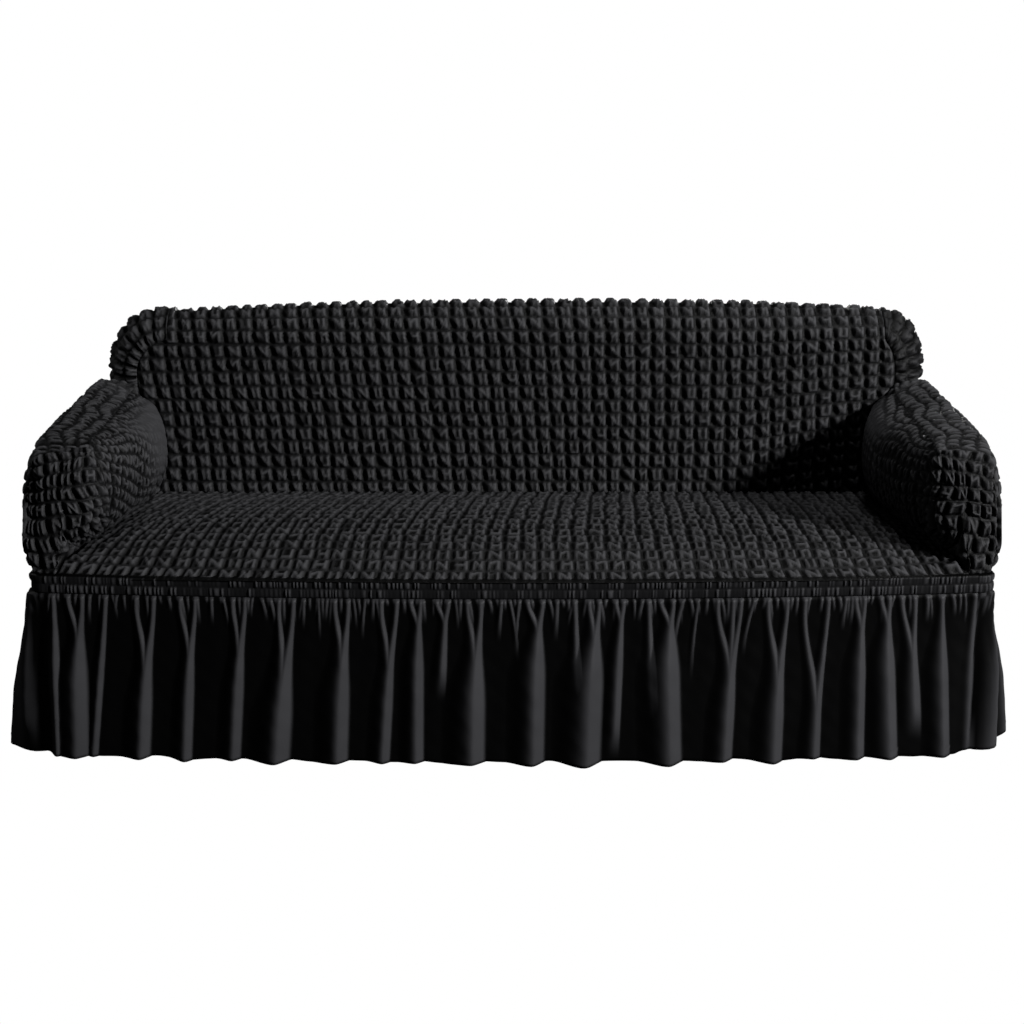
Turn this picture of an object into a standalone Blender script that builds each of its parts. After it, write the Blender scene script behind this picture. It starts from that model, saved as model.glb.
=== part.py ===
"""Fitted slipcover for a three-seat sofa, in the shape it takes on the sofa.

The cover is a hollow shell of sewn panels. Each panel is a thin sheet, and neighbours meet at a
seam line that both of them compute from the same function. A ring of heading band and a gathered
skirt hang below the panels. Heights are measured from the floor while modelling, and at the end
everything is placed so that the origin is under the top of the back, where the sofa holds it.
X runs along the sofa, Y to its back, Z up. Sizes are in metres.
"""
import bpy
import numpy as np

# Heights above the floor
HEM_Z = 0.010
BAND_LOW_Z = 0.360
BAND_TOP_Z = 0.400
SEAT_Z = 0.430
BACK_TOP_Z = 0.872

# Cloth
BUBBLE_CLOTH = 0.0020
BAND_CLOTH = 0.0024
SKIRT_CLOTH = 0.0015
SEAM_GAP = 0.0003
EDGE_PULL = 0.6 * SEAM_GAP
MITRE_LIMIT = 3.2

# Plan of the heading band
HALF_WIDTH = 0.990
FRONT_CENTRE_Y = -0.422
FRONT_BOW = 0.042
BACK_Y = 0.410
FRONT_CORNER_RADIUS = 0.035
BACK_CORNER_RADIUS = 0.050
FRONT_PLAN_STEPS = 60
CORNER_PLAN_STEPS = 24
PLAN_FEEL = 0.004

# Back of the sofa
CREASE_Y = 0.190
BACK_LEAN = 0.030
BACK_HALF_THICKNESS = 0.080
ROLL_RADIUS = 0.070
TOP_ARCH_DROP = 0.022
TOP_ARCH_AT = 0.850
TOP_ARCH_POWER = 2.5
CORNER_DROP = {"left": 0.122, "right": 0.115}
NECK_ANGLE = -np.radians(16)
NECK_DIP = 0.030
END_RADIUS = {"left": 0.144, "right": 0.097}
END_X = {"left": 0.944, "right": 0.962}

# Seat: its ends run level along the arms, and its middle is a soft crown that rolls down in front.
# The crown is given by the share of the seat's depth behind the heading band.
ARM_TIP_Y = -0.346
SEAT_END_X = 0.932
CROWN_COLUMNS = ("depth_share", "height")
SEAT_CROWN = (
    (0.00, 0.000),
    (0.06, 0.017),
    (0.12, 0.031),
    (0.20, 0.044),
    (0.30, 0.053),
    (0.42, 0.058),
    (0.58, 0.056),
    (0.75, 0.048),
    (1.00, 0.030),
)
CROWN_SIDE_POWER = 8

# Arms: sections across an arm, from the front to the back, for the right arm
ARM_COLUMNS = ("y", "crease_x", "belly_x", "belly_z", "seam_x", "seam_z", "knee_x", "knee_z")
ARM_SECTIONS = (
    (-0.346, 0.915, 0.862, 0.560, 0.864, 0.645, 0.970, 0.630),
    (-0.325, 0.911, 0.842, 0.560, 0.861, 0.655, 0.974, 0.642),
    (-0.270, 0.903, 0.818, 0.560, 0.862, 0.662, 0.978, 0.655),
    (-0.150, 0.884, 0.798, 0.560, 0.867, 0.665, 0.977, 0.668),
    (0.000, 0.861, 0.782, 0.563, 0.874, 0.667, 0.973, 0.680),
    (0.120, 0.842, 0.800, 0.568, 0.882, 0.669, 0.967, 0.692),
    (0.215, 0.828, 0.834, 0.575, 0.889, 0.671, 0.960, 0.700),
)
BELLY_SHIFT = {"left": -0.010, "right": 0.003}
FRONT_SEAM_FOOT_Y = {"left": -0.262, "right": -0.282}
FRONT_SEAM_TOP_Y = -0.325
FRONT_SEAM_BEND = 0.75

# Inside of an arm between its crease, belly and seam: shares of the way, in x and in z
UNDERCUT = (0.62, 0.30)
INNER_SHOULDER = (0.30, 0.74)
INSIDE_SHARES = (0.0, 0.22, 0.56, 0.84, 1.0)

# Over an arm: how its top and side stand out, and the ribs along its top
ARM_TOP_CROWN = 0.006
ARM_SIDE_PUFF = 0.014
ARM_SIDE_Z = 0.500
ARM_SIDE_TWIST = 0.35
OUTER_SHOULDER = (0.30, 0.70, 0.70)
OUTER_TUCK = (1.00, 0.30, 0.35)
NECK_KNEE = 0.010
NECK_DROP_TURN = -np.radians(30)
NECK_SPREAD = 0.12
REAR_PUFF = 0.008
ARM_RIBS = 4
ARM_RIB_HEIGHT = 0.005
RIBS_END = 0.42

# Arm fronts: a leaning pillow with round edges
ARM_FRONT_MIDDLE = (0.915, 0.545)
ARM_FRONT_FOOT_Y = -0.375
ARM_FRONT_LEAN = 0.130
ARM_FRONT_PUFF = 0.010
ARM_FRONT_ROUNDING = 5

# Heading band: two soft channels
BAND_CHANNEL_HEIGHT = 0.0022

# Skirt: ridges across the front, by their place along it, and what they do towards the band
SKIRT_FLARE = 0.012
SKIRT_FLARE_POWER = 1.2
FOLD_FLOOR = 0.004
FOLDS_OPEN_BY = 0.55
FOLDS_AT_TOP = 0.45
FOLD_FADE = 0.15
RIDGE_COLUMNS = ("hem_x", "top_x", "width", "height", "reach")
FRONT_RIDGES = (
    (-0.931, -0.931, 0.020, 0.020, 1.00),
    (-0.896, -0.885, 0.036, 0.024, 1.00),
    (-0.848, -0.822, 0.016, 0.014, 1.00),
    (-0.762, -0.744, 0.030, 0.026, 1.00),
    (-0.672, -0.668, 0.024, 0.024, 1.00),
    (-0.571, -0.558, 0.032, 0.026, 1.00),
    (-0.474, -0.456, 0.040, 0.028, 1.00),
    (-0.351, -0.343, 0.036, 0.028, 1.00),
    (-0.261, -0.246, 0.024, 0.022, 1.00),
    (-0.191, -0.192, 0.025, 0.024, 1.00),
    (-0.145, -0.136, 0.016, 0.012, 0.60),
    (-0.071, -0.074, 0.040, 0.028, 1.00),
    (0.053, 0.049, 0.034, 0.028, 1.00),
    (0.140, 0.130, 0.014, 0.012, 0.62),
    (0.168, 0.168, 0.046, 0.030, 1.00),
    (0.214, 0.220, 0.016, 0.014, 0.90),
    (0.299, 0.278, 0.012, 0.010, 0.70),
    (0.336, 0.315, 0.046, 0.030, 1.00),
    (0.445, 0.430, 0.032, 0.026, 1.00),
    (0.548, 0.530, 0.038, 0.028, 1.00),
    (0.631, 0.622, 0.022, 0.024, 1.00),
    (0.723, 0.710, 0.028, 0.024, 1.00),
    (0.792, 0.761, 0.038, 0.024, 1.00),
    (0.847, 0.818, 0.034, 0.020, 0.85),
    (0.905, 0.879, 0.028, 0.024, 1.00),
    (0.960, 0.945, 0.016, 0.014, 1.00),
)
RIDGE_PROFILE = ((-0.50, 0.0), (-0.22, 0.70), (0.12, 1.0), (0.46, 0.0))
SIDE_RIDGE_PITCH = 0.088
BACK_RIDGE_PITCH = 0.105
CORNER_CLEAR = 0.010
RIDGE_SCATTER = 0.16
RIDGE_LEAN = 0.015
RIDGE_WIDTHS = (0.026, 0.042)
RIDGE_HEIGHTS = (0.018, 0.028)
SIDE_SWEEP = {"left": 0.034, "right": 0.040}
SIDE_SWEEP_AT = 0.16
SIDE_SWEEP_SPREAD = 0.09
HEM_WAVE = 0.003

# Steps of the faceted sheets
COLUMNS = 20
ARM_LENGTH_STEPS = 8
ARM_HEIGHT_STEPS = 6
ARM_TOP_STEPS = 12
ARM_SIDE_STEPS = 6
ROLL_STEPS = 8
END_STEPS = 6
FRONT_ROLL_STEPS = 5
BAND_SILL_STEPS = 3
ARM_FRONT_RINGS = (1.0, 0.90, 0.74, 0.52, 0.26)
BAND_ROWS = 4
SKIRT_ROWS = (0.0, 0.14, 0.40, 0.70, 1.0)
CLOSEST_COLUMNS = 0.003

SIDES = {"left": -1.0, "right": 1.0}


# ---------------------------------------------------------------- curves and small helpers

def smooth_steps(knots, values, at):
    """Values read off a smooth curve through the knots (cubic Hermite)."""
    knots = np.asarray(knots, float)
    values = np.asarray(values, float)
    at = np.clip(np.asarray(at, float), knots[0], knots[-1])
    slopes = np.gradient(values, knots, axis=0)
    i = np.clip(np.searchsorted(knots, at) - 1, 0, len(knots) - 2)
    width = knots[i + 1] - knots[i]
    f = (at - knots[i]) / width
    if values.ndim > 1:
        f = f[..., None]
        width = width[..., None]
    return ((2 * f**3 - 3 * f**2 + 1) * values[i] + (f**3 - 2 * f**2 + f) * width * slopes[i]
            + (3 * f**2 - 2 * f**3) * values[i + 1] + (f**3 - f**2) * width * slopes[i + 1])


def smoothstep(low, high, x):
    f = np.clip((x - low) / (high - low), 0, 1)
    return f * f * (3 - 2 * f)


def points(x, y, z):
    return np.stack(np.broadcast_arrays(x, y, z), axis=-1).astype(float)


def mirrored(side, line):
    """Points computed for the right side, moved to the side that is wanted."""
    return line * np.array([SIDES[side], 1.0, 1.0])


def between(a, b, share):
    return a + (b - a) * share


def run_along(line):
    """Distance run from the first point of a line to each of its points."""
    return np.concatenate([[0], np.cumsum(np.linalg.norm(np.diff(line, axis=0), axis=1))])


def at_shares(line, shares):
    """Points of a line at the given shares of its length."""
    run = run_along(line)
    return np.stack([np.interp(shares * run[-1], run, line[:, k]) for k in range(3)], axis=1)


def fill(left, right, bottom, top):
    """A sheet between four edge lines. Rows run left to right, and the first row is the bottom."""
    u = np.linspace(0, 1, len(bottom))[None, :, None]
    w = np.linspace(0, 1, len(left))[:, None, None]
    between_sides = (1 - u) * left[:, None] + u * right[:, None]
    between_ends = (1 - w) * bottom[None] + w * top[None]
    corners = ((1 - u) * (1 - w) * bottom[0] + u * (1 - w) * bottom[-1]
               + (1 - u) * w * top[0] + u * w * top[-1])
    return between_sides + between_ends - corners


def along_normal(grid, height):
    """The sheet with each point moved out along the sheet's own normal."""
    across = np.gradient(grid, axis=1)
    up = np.gradient(grid, axis=0)
    normal = np.cross(across, up)
    normal /= np.linalg.norm(normal, axis=-1, keepdims=True) + 1e-12
    return grid + normal * height[..., None]


# ---------------------------------------------------------------- the heading line round the sofa

def right_half_plan():
    straight = HALF_WIDTH - FRONT_CORNER_RADIUS
    x = np.linspace(0, straight, FRONT_PLAN_STEPS)
    front = np.stack([x, FRONT_CENTRE_Y + FRONT_BOW * (x / straight) ** 2], axis=1)
    turn = np.linspace(-np.pi / 2, 0, CORNER_PLAN_STEPS)[1:]
    centre_y = front[-1, 1] + FRONT_CORNER_RADIUS
    front_corner = np.stack([straight + FRONT_CORNER_RADIUS * np.cos(turn),
                             centre_y + FRONT_CORNER_RADIUS * np.sin(turn)], axis=1)
    turn = np.linspace(0, np.pi / 2, CORNER_PLAN_STEPS)
    back_corner = np.stack([HALF_WIDTH + BACK_CORNER_RADIUS * (np.cos(turn) - 1),
                            BACK_Y + BACK_CORNER_RADIUS * (np.sin(turn) - 1)], axis=1)
    return np.concatenate([front, front_corner, back_corner, [[0.0, BACK_Y]]])


HALF_PLAN = right_half_plan()
WHOLE_PLAN = np.concatenate([HALF_PLAN, HALF_PLAN[::-1][1:] * [-1, 1]])
PLAN_RUN = run_along(WHOLE_PLAN)
PLAN_LENGTH = PLAN_RUN[-1]
FRONT_HALF_RUN = PLAN_RUN[FRONT_PLAN_STEPS - 1]
CORNER_RUN = FRONT_HALF_RUN + FRONT_CORNER_RADIUS * np.pi / 4
SIDE_START_RUN = FRONT_HALF_RUN + FRONT_CORNER_RADIUS * np.pi / 2
SIDE_LENGTH = BACK_Y - FRONT_CENTRE_Y - FRONT_BOW - FRONT_CORNER_RADIUS - BACK_CORNER_RADIUS
BACK_CORNER_RUN = SIDE_START_RUN + SIDE_LENGTH
REAR_SEAM_RUN = BACK_CORNER_RUN + BACK_CORNER_RADIUS * np.pi / 2
NECK_RUN = BACK_CORNER_RUN - NECK_SPREAD


def plan_at(run):
    """Place on the heading line, by the distance run from the middle of the front, rightwards."""
    run = np.mod(run, PLAN_LENGTH)
    return np.stack([np.interp(run, PLAN_RUN, WHOLE_PLAN[:, k]) for k in (0, 1)], axis=-1)


def plan_normal(run):
    along = plan_at(run + PLAN_FEEL) - plan_at(run - PLAN_FEEL)
    out = np.stack([along[..., 1], -along[..., 0]], axis=-1)
    return out / np.linalg.norm(out, axis=-1, keepdims=True)


def heading_line(side, run):
    place = plan_at(run)
    return mirrored(side, points(place[:, 0], place[:, 1], BAND_TOP_Z))


# ---------------------------------------------------------------- the back

def inside_face_y(z):
    return CREASE_Y + BACK_LEAN * (z - SEAT_Z)


def top_arch(x):
    return BACK_TOP_Z - TOP_ARCH_DROP * (np.abs(x) / TOP_ARCH_AT) ** TOP_ARCH_POWER


def roll_section(crest_x, crest_z, in_x, in_z, turn):
    """Half-round across the edge of the back: turn is -90 degrees inside, +90 outside."""
    inset = ROLL_RADIUS * (1 - np.cos(turn))
    x = crest_x + in_x * inset
    z = crest_z + in_z * inset
    y = inside_face_y(z) + BACK_HALF_THICKNESS * (1 + np.sin(turn))
    return points(x, y, z)


def across_share(turn):
    """0 on the inside rim of the roll, 1 on its outside rim."""
    return (1 + np.sin(turn)) / 2


def top_start_x(side):
    return END_X[side] - END_RADIUS[side]


def back_end(side, t, turn):
    """Round end of the back, from the arm (t = 0) over the corner to the top (t = 1)."""
    angle = NECK_ANGLE + (np.pi / 2 - NECK_ANGLE) * t
    radius = END_RADIUS[side]
    x = top_start_x(side) + radius * np.cos(angle)
    drop = CORNER_DROP[side]
    z = top_arch(x) - drop * (1 - np.sin(angle)) - NECK_DIP * (1 - t) ** 2 * (1 - across_share(turn))
    out_x = drop * np.cos(angle)
    out_z = radius * np.sin(angle)
    length = np.hypot(out_x, out_z)
    return mirrored(side, roll_section(x, z, -out_x / length, -out_z / length, turn))


ROLL_TURNS = np.linspace(-np.pi / 2, np.pi / 2, ROLL_STEPS + 1)
END_PLACES = np.linspace(0, 1, END_STEPS + 1)


# ---------------------------------------------------------------- the arms

def arm_value(name, y):
    table = np.array(ARM_SECTIONS)
    return smooth_steps(table[:, 0], table[:, ARM_COLUMNS.index(name)], y)


def arm_inside_section(side, y, t):
    """Inside of an arm at y, from the crease with the seat (t = 0) to the top seam (t = 1)."""
    crease_x = arm_value("crease_x", y)
    belly_x = arm_value("belly_x", y) + BELLY_SHIFT[side]
    belly_z = arm_value("belly_z", y)
    seam_x = arm_value("seam_x", y)
    seam_z = arm_value("seam_z", y)
    crease = np.array([crease_x, SEAT_Z])
    belly = np.array([belly_x, belly_z])
    seam = np.array([seam_x, seam_z])
    through = (crease, between(crease, belly, np.array(UNDERCUT)), belly,
               between(belly, seam, np.array(INNER_SHOULDER)), seam)
    x, z = smooth_steps(INSIDE_SHARES, through, t)
    return mirrored(side, np.array([x, y, z]))


def arm_front_seam_y(side, t):
    foot = FRONT_SEAM_FOOT_Y[side]
    return between(foot, FRONT_SEAM_TOP_Y, smoothstep(0, FRONT_SEAM_BEND, t))


def arm_inside_row(side, t, steps):
    """A line along the inside of an arm at one height share, from the front seam to the back."""
    front_y = arm_front_seam_y(side, t)
    height = arm_inside_section(side, CREASE_Y, t)[2]
    ys = np.linspace(front_y, inside_face_y(height), steps + 1)
    return np.array([arm_inside_section(side, y, t) for y in ys])


def back_base_line(side):
    """Foot of the back's round end, where it stands on the arm: the first point is on the seam."""
    return back_end(side, 0.0, ROLL_TURNS)


def arm_inside_panel(side):
    rows = [arm_inside_row(side, t, ARM_LENGTH_STEPS) for t in np.linspace(0, 1, ARM_HEIGHT_STEPS + 1)]
    grid = np.array(rows)
    grid[-1, -1] = back_base_line(side)[0]
    return grid


def arm_over_line(side, start, foot_run, along_arm, turn):
    """Across the top of an arm, over its knee and down its outside to the heading band."""
    foot = heading_line("right", np.array([foot_run]))[0]
    out = points(*plan_normal(foot_run), 0.0)
    start = mirrored(side, start)
    knee = np.array([arm_value("knee_x", start[1]), start[1], arm_value("knee_z", start[1])])
    if not along_arm:
        beside = start + NECK_KNEE * np.array([np.cos(turn), np.sin(turn), -0.5])
        beside[0] = max(beside[0], knee[0]) if turn < 0 else beside[0]
        knee = between(knee, beside, smoothstep(-np.pi / 2, NECK_DROP_TURN, turn))
    crown = ARM_TOP_CROWN if along_arm else 0.0
    flank = foot + out * ARM_SIDE_PUFF + np.array([0.0, ARM_SIDE_TWIST * (knee[1] - foot[1]), 0.0])
    flank[2] = ARM_SIDE_Z
    through = np.array([
        start,
        between(start, knee, 0.5) + np.array([0.0, 0.0, crown]),
        knee,
        between(flank, knee, np.array(OUTER_SHOULDER)),
        flank,
        between(foot, flank, np.array(OUTER_TUCK)),
        foot,
    ])
    knots = run_along(through)
    smooth = smooth_steps(knots, through, np.linspace(0, knots[-1], 120))
    share = np.linspace(0, 1, len(smooth))[:, None]
    straight = between(start, foot, share) + out * REAR_PUFF * np.sin(np.pi * share)
    line = between(smooth, straight, smoothstep(0, np.pi / 2, turn))
    return mirrored(side, at_shares(line, ARM_OVER_SHARES))


ARM_OVER_SHARES = np.concatenate([np.linspace(0, RIBS_END, ARM_TOP_STEPS + 1),
                                  np.linspace(RIBS_END, 1, ARM_SIDE_STEPS + 1)[1:]])


def arm_ribs(arm_share, columns):
    """Lengthwise ribs that fan from the neck over the arm's top, fading out at its ends."""
    across = ARM_OVER_SHARES[:, None]
    length = np.linspace(0, 1, columns)[None, :]
    ribs = np.sin(np.pi * ARM_RIBS * across / RIBS_END) ** 2 * (across < RIBS_END)
    front_fade = smoothstep(0, 0.25 * arm_share, length)
    neck_fade = 1 - smoothstep(0.8 * arm_share, arm_share, length)
    return ARM_RIB_HEIGHT * ribs * front_fade * neck_fade


def arm_outside_panel(side):
    """Over the arm and down its outside: rows from the top seam to the band, front to back."""
    top = np.concatenate([arm_inside_panel(side)[-1], back_base_line(side)[1:]])
    foot_runs = np.concatenate([np.linspace(CORNER_RUN, NECK_RUN, ARM_LENGTH_STEPS + 1),
                                np.linspace(NECK_RUN, REAR_SEAM_RUN, ROLL_STEPS + 1)[1:]])
    turns = np.concatenate([np.full(ARM_LENGTH_STEPS, -np.pi / 2), ROLL_TURNS])
    columns = [arm_over_line(side, start, foot_run, k <= ARM_LENGTH_STEPS, turn)
               for k, (start, foot_run, turn) in enumerate(zip(top, foot_runs, turns))]
    grid = np.array(columns).transpose(1, 0, 2)
    ribs = arm_ribs(ARM_LENGTH_STEPS / (len(top) - 1), len(top))
    return along_normal(grid, -SIDES[side] * ribs)


# ---------------------------------------------------------------- the seat

def seat_end_line(side):
    """End of the seat: along the arm's crease to its tip, then down the front roll to the band."""
    rear = arm_inside_row(side, 0.0, ARM_LENGTH_STEPS)[::-1]
    tip = np.array([[SIDES[side] * arm_value("crease_x", ARM_TIP_Y), ARM_TIP_Y, SEAT_Z]])
    band = heading_line(side, np.array([SEAT_END_X]))[0]
    forward = np.linspace(0, 1, FRONT_ROLL_STEPS + 1)[1:]
    drop = forward**2
    roll = points(between(tip[0, 0], band[0], drop),
                  between(tip[0, 1], band[1], forward),
                  between(SEAT_Z, BAND_TOP_Z, drop))
    return np.concatenate([rear, tip, roll])


def crown_height(depth_share):
    """Height of the seat's middle above the band's top edge."""
    table = np.array(SEAT_CROWN)
    return smooth_steps(table[:, 0], table[:, 1], depth_share)


def seat_panel():
    """Rows from the crease with the back, forwards and over the front roll to the band."""
    left = seat_end_line("left")
    right = seat_end_line("right")
    u = np.linspace(0, 1, COLUMNS + 1)
    crowned = 1 - np.abs(2 * u - 1) ** CROWN_SIDE_POWER
    rear = points(between(left[0, 0], right[0, 0], u), left[0, 1], SEAT_Z)
    band = heading_line("right", between(-SEAT_END_X, SEAT_END_X, u))
    rows = []
    for a, b in zip(left, right):
        row = between(a, b, u[:, None])
        depth_share = (a[1] - band[0, 1]) / (CREASE_Y - band[0, 1])
        row[:, 1] += (band[:, 1] - band[0, 1]) * (1 - depth_share)
        middle_z = BAND_TOP_Z + crown_height(depth_share)
        row[:, 2] = between(row[:, 2], middle_z, crowned)
        rows.append(row)
    rows[0] = rear
    rows[-1] = band
    return np.array(rows)


# ---------------------------------------------------------------- inside and outside back

def back_side_line(side, turn_end):
    """Side of a back panel, upwards: the arm's junction and then the round end's rim."""
    if turn_end < 0:
        lower = arm_inside_panel(side)[:, -1]
    else:
        lower = arm_outside_panel(side)[::-1, -1]
    return np.concatenate([lower, back_end(side, END_PLACES[1:], turn_end)])


def top_columns():
    return np.linspace(-top_start_x("left"), top_start_x("right"), COLUMNS + 1)


def top_roll(turn):
    x = top_columns()
    return roll_section(x, top_arch(x), 0.0, -1.0, turn)


def inside_back_panel():
    """Rows from the crease up the inside face, and on over the top roll."""
    left = back_side_line("left", -np.pi / 2)
    right = back_side_line("right", -np.pi / 2)
    rim = top_roll(-np.pi / 2)
    crease = seat_panel()[0]
    face = fill(left, right, crease, rim)
    over = np.array([top_roll(turn) for turn in ROLL_TURNS[1:]])
    over[:, 0] = back_end("left", 1.0, ROLL_TURNS[1:])
    over[:, -1] = back_end("right", 1.0, ROLL_TURNS[1:])
    return np.concatenate([face, over])


def outside_back_panel():
    left = back_side_line("left", np.pi / 2)
    right = back_side_line("right", np.pi / 2)
    run = np.linspace(PLAN_LENGTH - REAR_SEAM_RUN, REAR_SEAM_RUN, COLUMNS + 1)
    place = plan_at(run)
    bottom = points(place[:, 0], place[:, 1], BAND_TOP_Z)
    return fill(left, right, bottom, inside_back_panel()[-1])


def back_end_panel(side):
    """Rows run across the round end, from the inside rim to the outside rim."""
    return np.array([back_end(side, t, ROLL_TURNS) for t in END_PLACES])


# ---------------------------------------------------------------- arm fronts

def arm_front_loop(side):
    """Edge of an arm front: over the arm and down its outside, along the band, up the seat end."""
    outer = arm_outside_panel(side)[:, 0]
    sill = heading_line(side, np.linspace(CORNER_RUN, SEAT_END_X, BAND_SILL_STEPS + 1))[1:]
    seat_end = seat_end_line(side)
    up_roll = seat_end[-2:-FRONT_ROLL_STEPS - 2:-1]
    inner = arm_inside_panel(side)[:-1, 0]
    return np.concatenate([outer, sill, up_roll, inner])


def arm_front_rings(side):
    """Rings from the edge in to the middle of the pillow-shaped front.

    Seen from the front the points of the seat's roll lie close together, so inner rings spread them."""
    loop = arm_front_loop(side)
    middle = np.array([SIDES[side] * ARM_FRONT_MIDDLE[0], 0.0, ARM_FRONT_MIDDLE[1]])
    roll = np.arange(-FRONT_ROLL_STEPS, 0) - ARM_HEIGHT_STEPS
    share = np.arange(1, FRONT_ROLL_STEPS + 1)[:, None] / (FRONT_ROLL_STEPS + 1)
    spread = loop.copy()
    spread[roll] = between(loop[roll[0] - 1], loop[roll[-1] + 1], share)
    rings = []
    for reach in ARM_FRONT_RINGS:
        ring = between(middle, between(spread, loop, reach**4), reach)
        plane_y = ARM_FRONT_FOOT_Y + ARM_FRONT_LEAN * (ring[:, 2] - BAND_TOP_Z)
        puffed_y = plane_y - ARM_FRONT_PUFF * (1 - reach**2)
        ring[:, 1] = puffed_y + (loop[:, 1] - plane_y) * reach**ARM_FRONT_ROUNDING
        rings.append(ring)
    middle[1] = rings[-1][:, 1].mean()
    return rings, middle


# ---------------------------------------------------------------- the skirt

def front_ridges():
    named = {name: i for i, name in enumerate(RIDGE_COLUMNS)}
    for row in FRONT_RIDGES:
        yield tuple(row[named[name]] for name in RIDGE_COLUMNS)


def skirt_ridges():
    """All ridges round the skirt, by run: the front from its table, the rest unevenly spaced."""
    rng = np.random.default_rng(7)
    ridges = list(front_ridges())
    side_start = FRONT_HALF_RUN + CORNER_CLEAR
    stretches = ((side_start, REAR_SEAM_RUN, SIDE_RIDGE_PITCH),
                 (REAR_SEAM_RUN, PLAN_LENGTH - REAR_SEAM_RUN, BACK_RIDGE_PITCH),
                 (PLAN_LENGTH - REAR_SEAM_RUN, PLAN_LENGTH - side_start, SIDE_RIDGE_PITCH))
    for start, end, pitch in stretches:
        count = round((end - start) / pitch)
        for k in range(count):
            place = (k + 0.5 + rng.uniform(-RIDGE_SCATTER, RIDGE_SCATTER)) / count
            hem = between(start, end, place)
            ridges.append((hem, hem + rng.uniform(-RIDGE_LEAN, RIDGE_LEAN), rng.uniform(*RIDGE_WIDTHS),
                           rng.uniform(*RIDGE_HEIGHTS), 1.0))
    return sorted((np.mod(hem, PLAN_LENGTH), top - hem, width, height, reach)
                  for hem, top, width, height, reach in ridges)


def side_sweep(run):
    """The corner folds that stand out beside the arms."""
    from_front = {"right": run - FRONT_HALF_RUN, "left": PLAN_LENGTH - FRONT_HALF_RUN - run}
    total = 0.0
    for side, distance in from_front.items():
        total = total + SIDE_SWEEP[side] * np.exp(-((distance - SIDE_SWEEP_AT) / SIDE_SWEEP_SPREAD) ** 2)
    return total


def skirt_columns():
    """Where each column of the skirt runs, which follows the folds, and how far it stands out."""
    ridges = skirt_ridges()
    columns = []
    for (hem, lean, width, height, reach), after in zip(ridges, ridges[1:] + ridges[:1]):
        next_hem = after[0] + (PLAN_LENGTH if after[0] < hem else 0.0)
        for offset, level in RIDGE_PROFILE:
            run = hem + offset * width
            columns.append((run, run + lean, level * height, reach))
        floor = (hem + 0.5 * width + next_hem - 0.5 * after[2]) / 2
        columns.append((floor, floor + (lean + after[1]) / 2, -FOLD_FLOOR, 1.0))
    columns = np.array(columns)
    apart = np.concatenate([np.diff(columns[:, 0]) > CLOSEST_COLUMNS, [True]])
    return columns[apart].T


def skirt_panel():
    """The gathered ring, from its hem up. Folds open downwards from the heading band."""
    hem_run, top_run, height, reach = skirt_columns()
    rng = np.random.default_rng(11)
    wave = HEM_WAVE * np.convolve(rng.uniform(-1, 1, len(hem_run)), np.ones(5) / 3, "same")
    rows = []
    for share in SKIRT_ROWS[::-1]:
        run = between(top_run, hem_run, share)
        opened = smoothstep(0, FOLDS_OPEN_BY, share) * between(FOLDS_AT_TOP, 1.0, share)
        kept = np.where(reach < 1, 1 - smoothstep(reach - FOLD_FADE, reach + FOLD_FADE, share), 1.0)
        out = SKIRT_FLARE * share**SKIRT_FLARE_POWER + height * opened * kept + side_sweep(run) * share
        place = plan_at(run) + plan_normal(run) * out[:, None]
        rows.append(points(place[:, 0], place[:, 1], between(BAND_LOW_Z, HEM_Z, share) + wave * share))
    return np.array(rows)


def band_runs():
    """Places round the heading band, close together on its corners."""
    stretches = ((0.0, FRONT_HALF_RUN, 8), (FRONT_HALF_RUN, SIDE_START_RUN, 5),
                 (SIDE_START_RUN, BACK_CORNER_RUN, 3), (BACK_CORNER_RUN, REAR_SEAM_RUN, 5),
                 (REAR_SEAM_RUN, PLAN_LENGTH / 2, 3))
    half = np.concatenate([np.linspace(start, end, steps + 1)[:-1] for start, end, steps in stretches])
    return np.concatenate([half, [PLAN_LENGTH / 2], PLAN_LENGTH - half[:0:-1]])


def band_panel():
    """The heading ring with two soft channels, from its lower edge up."""
    run = band_runs()
    rows = []
    for level in np.linspace(0, 1, BAND_ROWS + 1):
        out = BAND_CHANNEL_HEIGHT * np.sin(2 * np.pi * level) ** 2
        place = plan_at(run) + plan_normal(run) * out
        rows.append(points(place[:, 0], place[:, 1], between(BAND_LOW_Z, BAND_TOP_Z, level)))
    return np.array(rows)


# ---------------------------------------------------------------- from panels to solid sheets

class Panel:
    """A sheet's outer face: points, faces that look outwards, and the edge loops."""

    def __init__(self, name, verts, faces, cloth):
        self.name = name
        self.verts = np.array(verts, float)
        self.faces = faces
        self.cloth = cloth

    def face_normals(self):
        for face in self.faces:
            a, b, c = self.verts[list(face)]
            yield face, np.cross(b - a, c - a)

    def edges_on_rim(self):
        """Directed edges that only one face uses."""
        used = {}
        for face in self.faces:
            for a, b in zip(face, face[1:] + face[:1]):
                used[(a, b)] = True
        return [(a, b) for a, b in used if (b, a) not in used]


def split_quad(verts, corners, outwards):
    """Two triangles on the shorter diagonal. Both faces of the cloth then bend along the same line."""
    a, b, c, d = corners
    if np.linalg.norm(verts[a] - verts[c]) < np.linalg.norm(verts[b] - verts[d]):
        pair = ((a, b, c), (a, c, d))
    else:
        pair = ((a, b, d), (b, c, d))
    return pair if outwards > 0 else tuple(face[::-1] for face in pair)


def ladder(verts, rows, cols, closed, outwards):
    """Triangles between neighbouring rows of points."""
    faces = []
    for i in range(rows - 1):
        for j in range(cols if closed else cols - 1):
            k = (j + 1) % cols
            corners = (i * cols + j, i * cols + k, (i + 1) * cols + k, (i + 1) * cols + j)
            faces += split_quad(verts, corners, outwards)
    return faces


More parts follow.
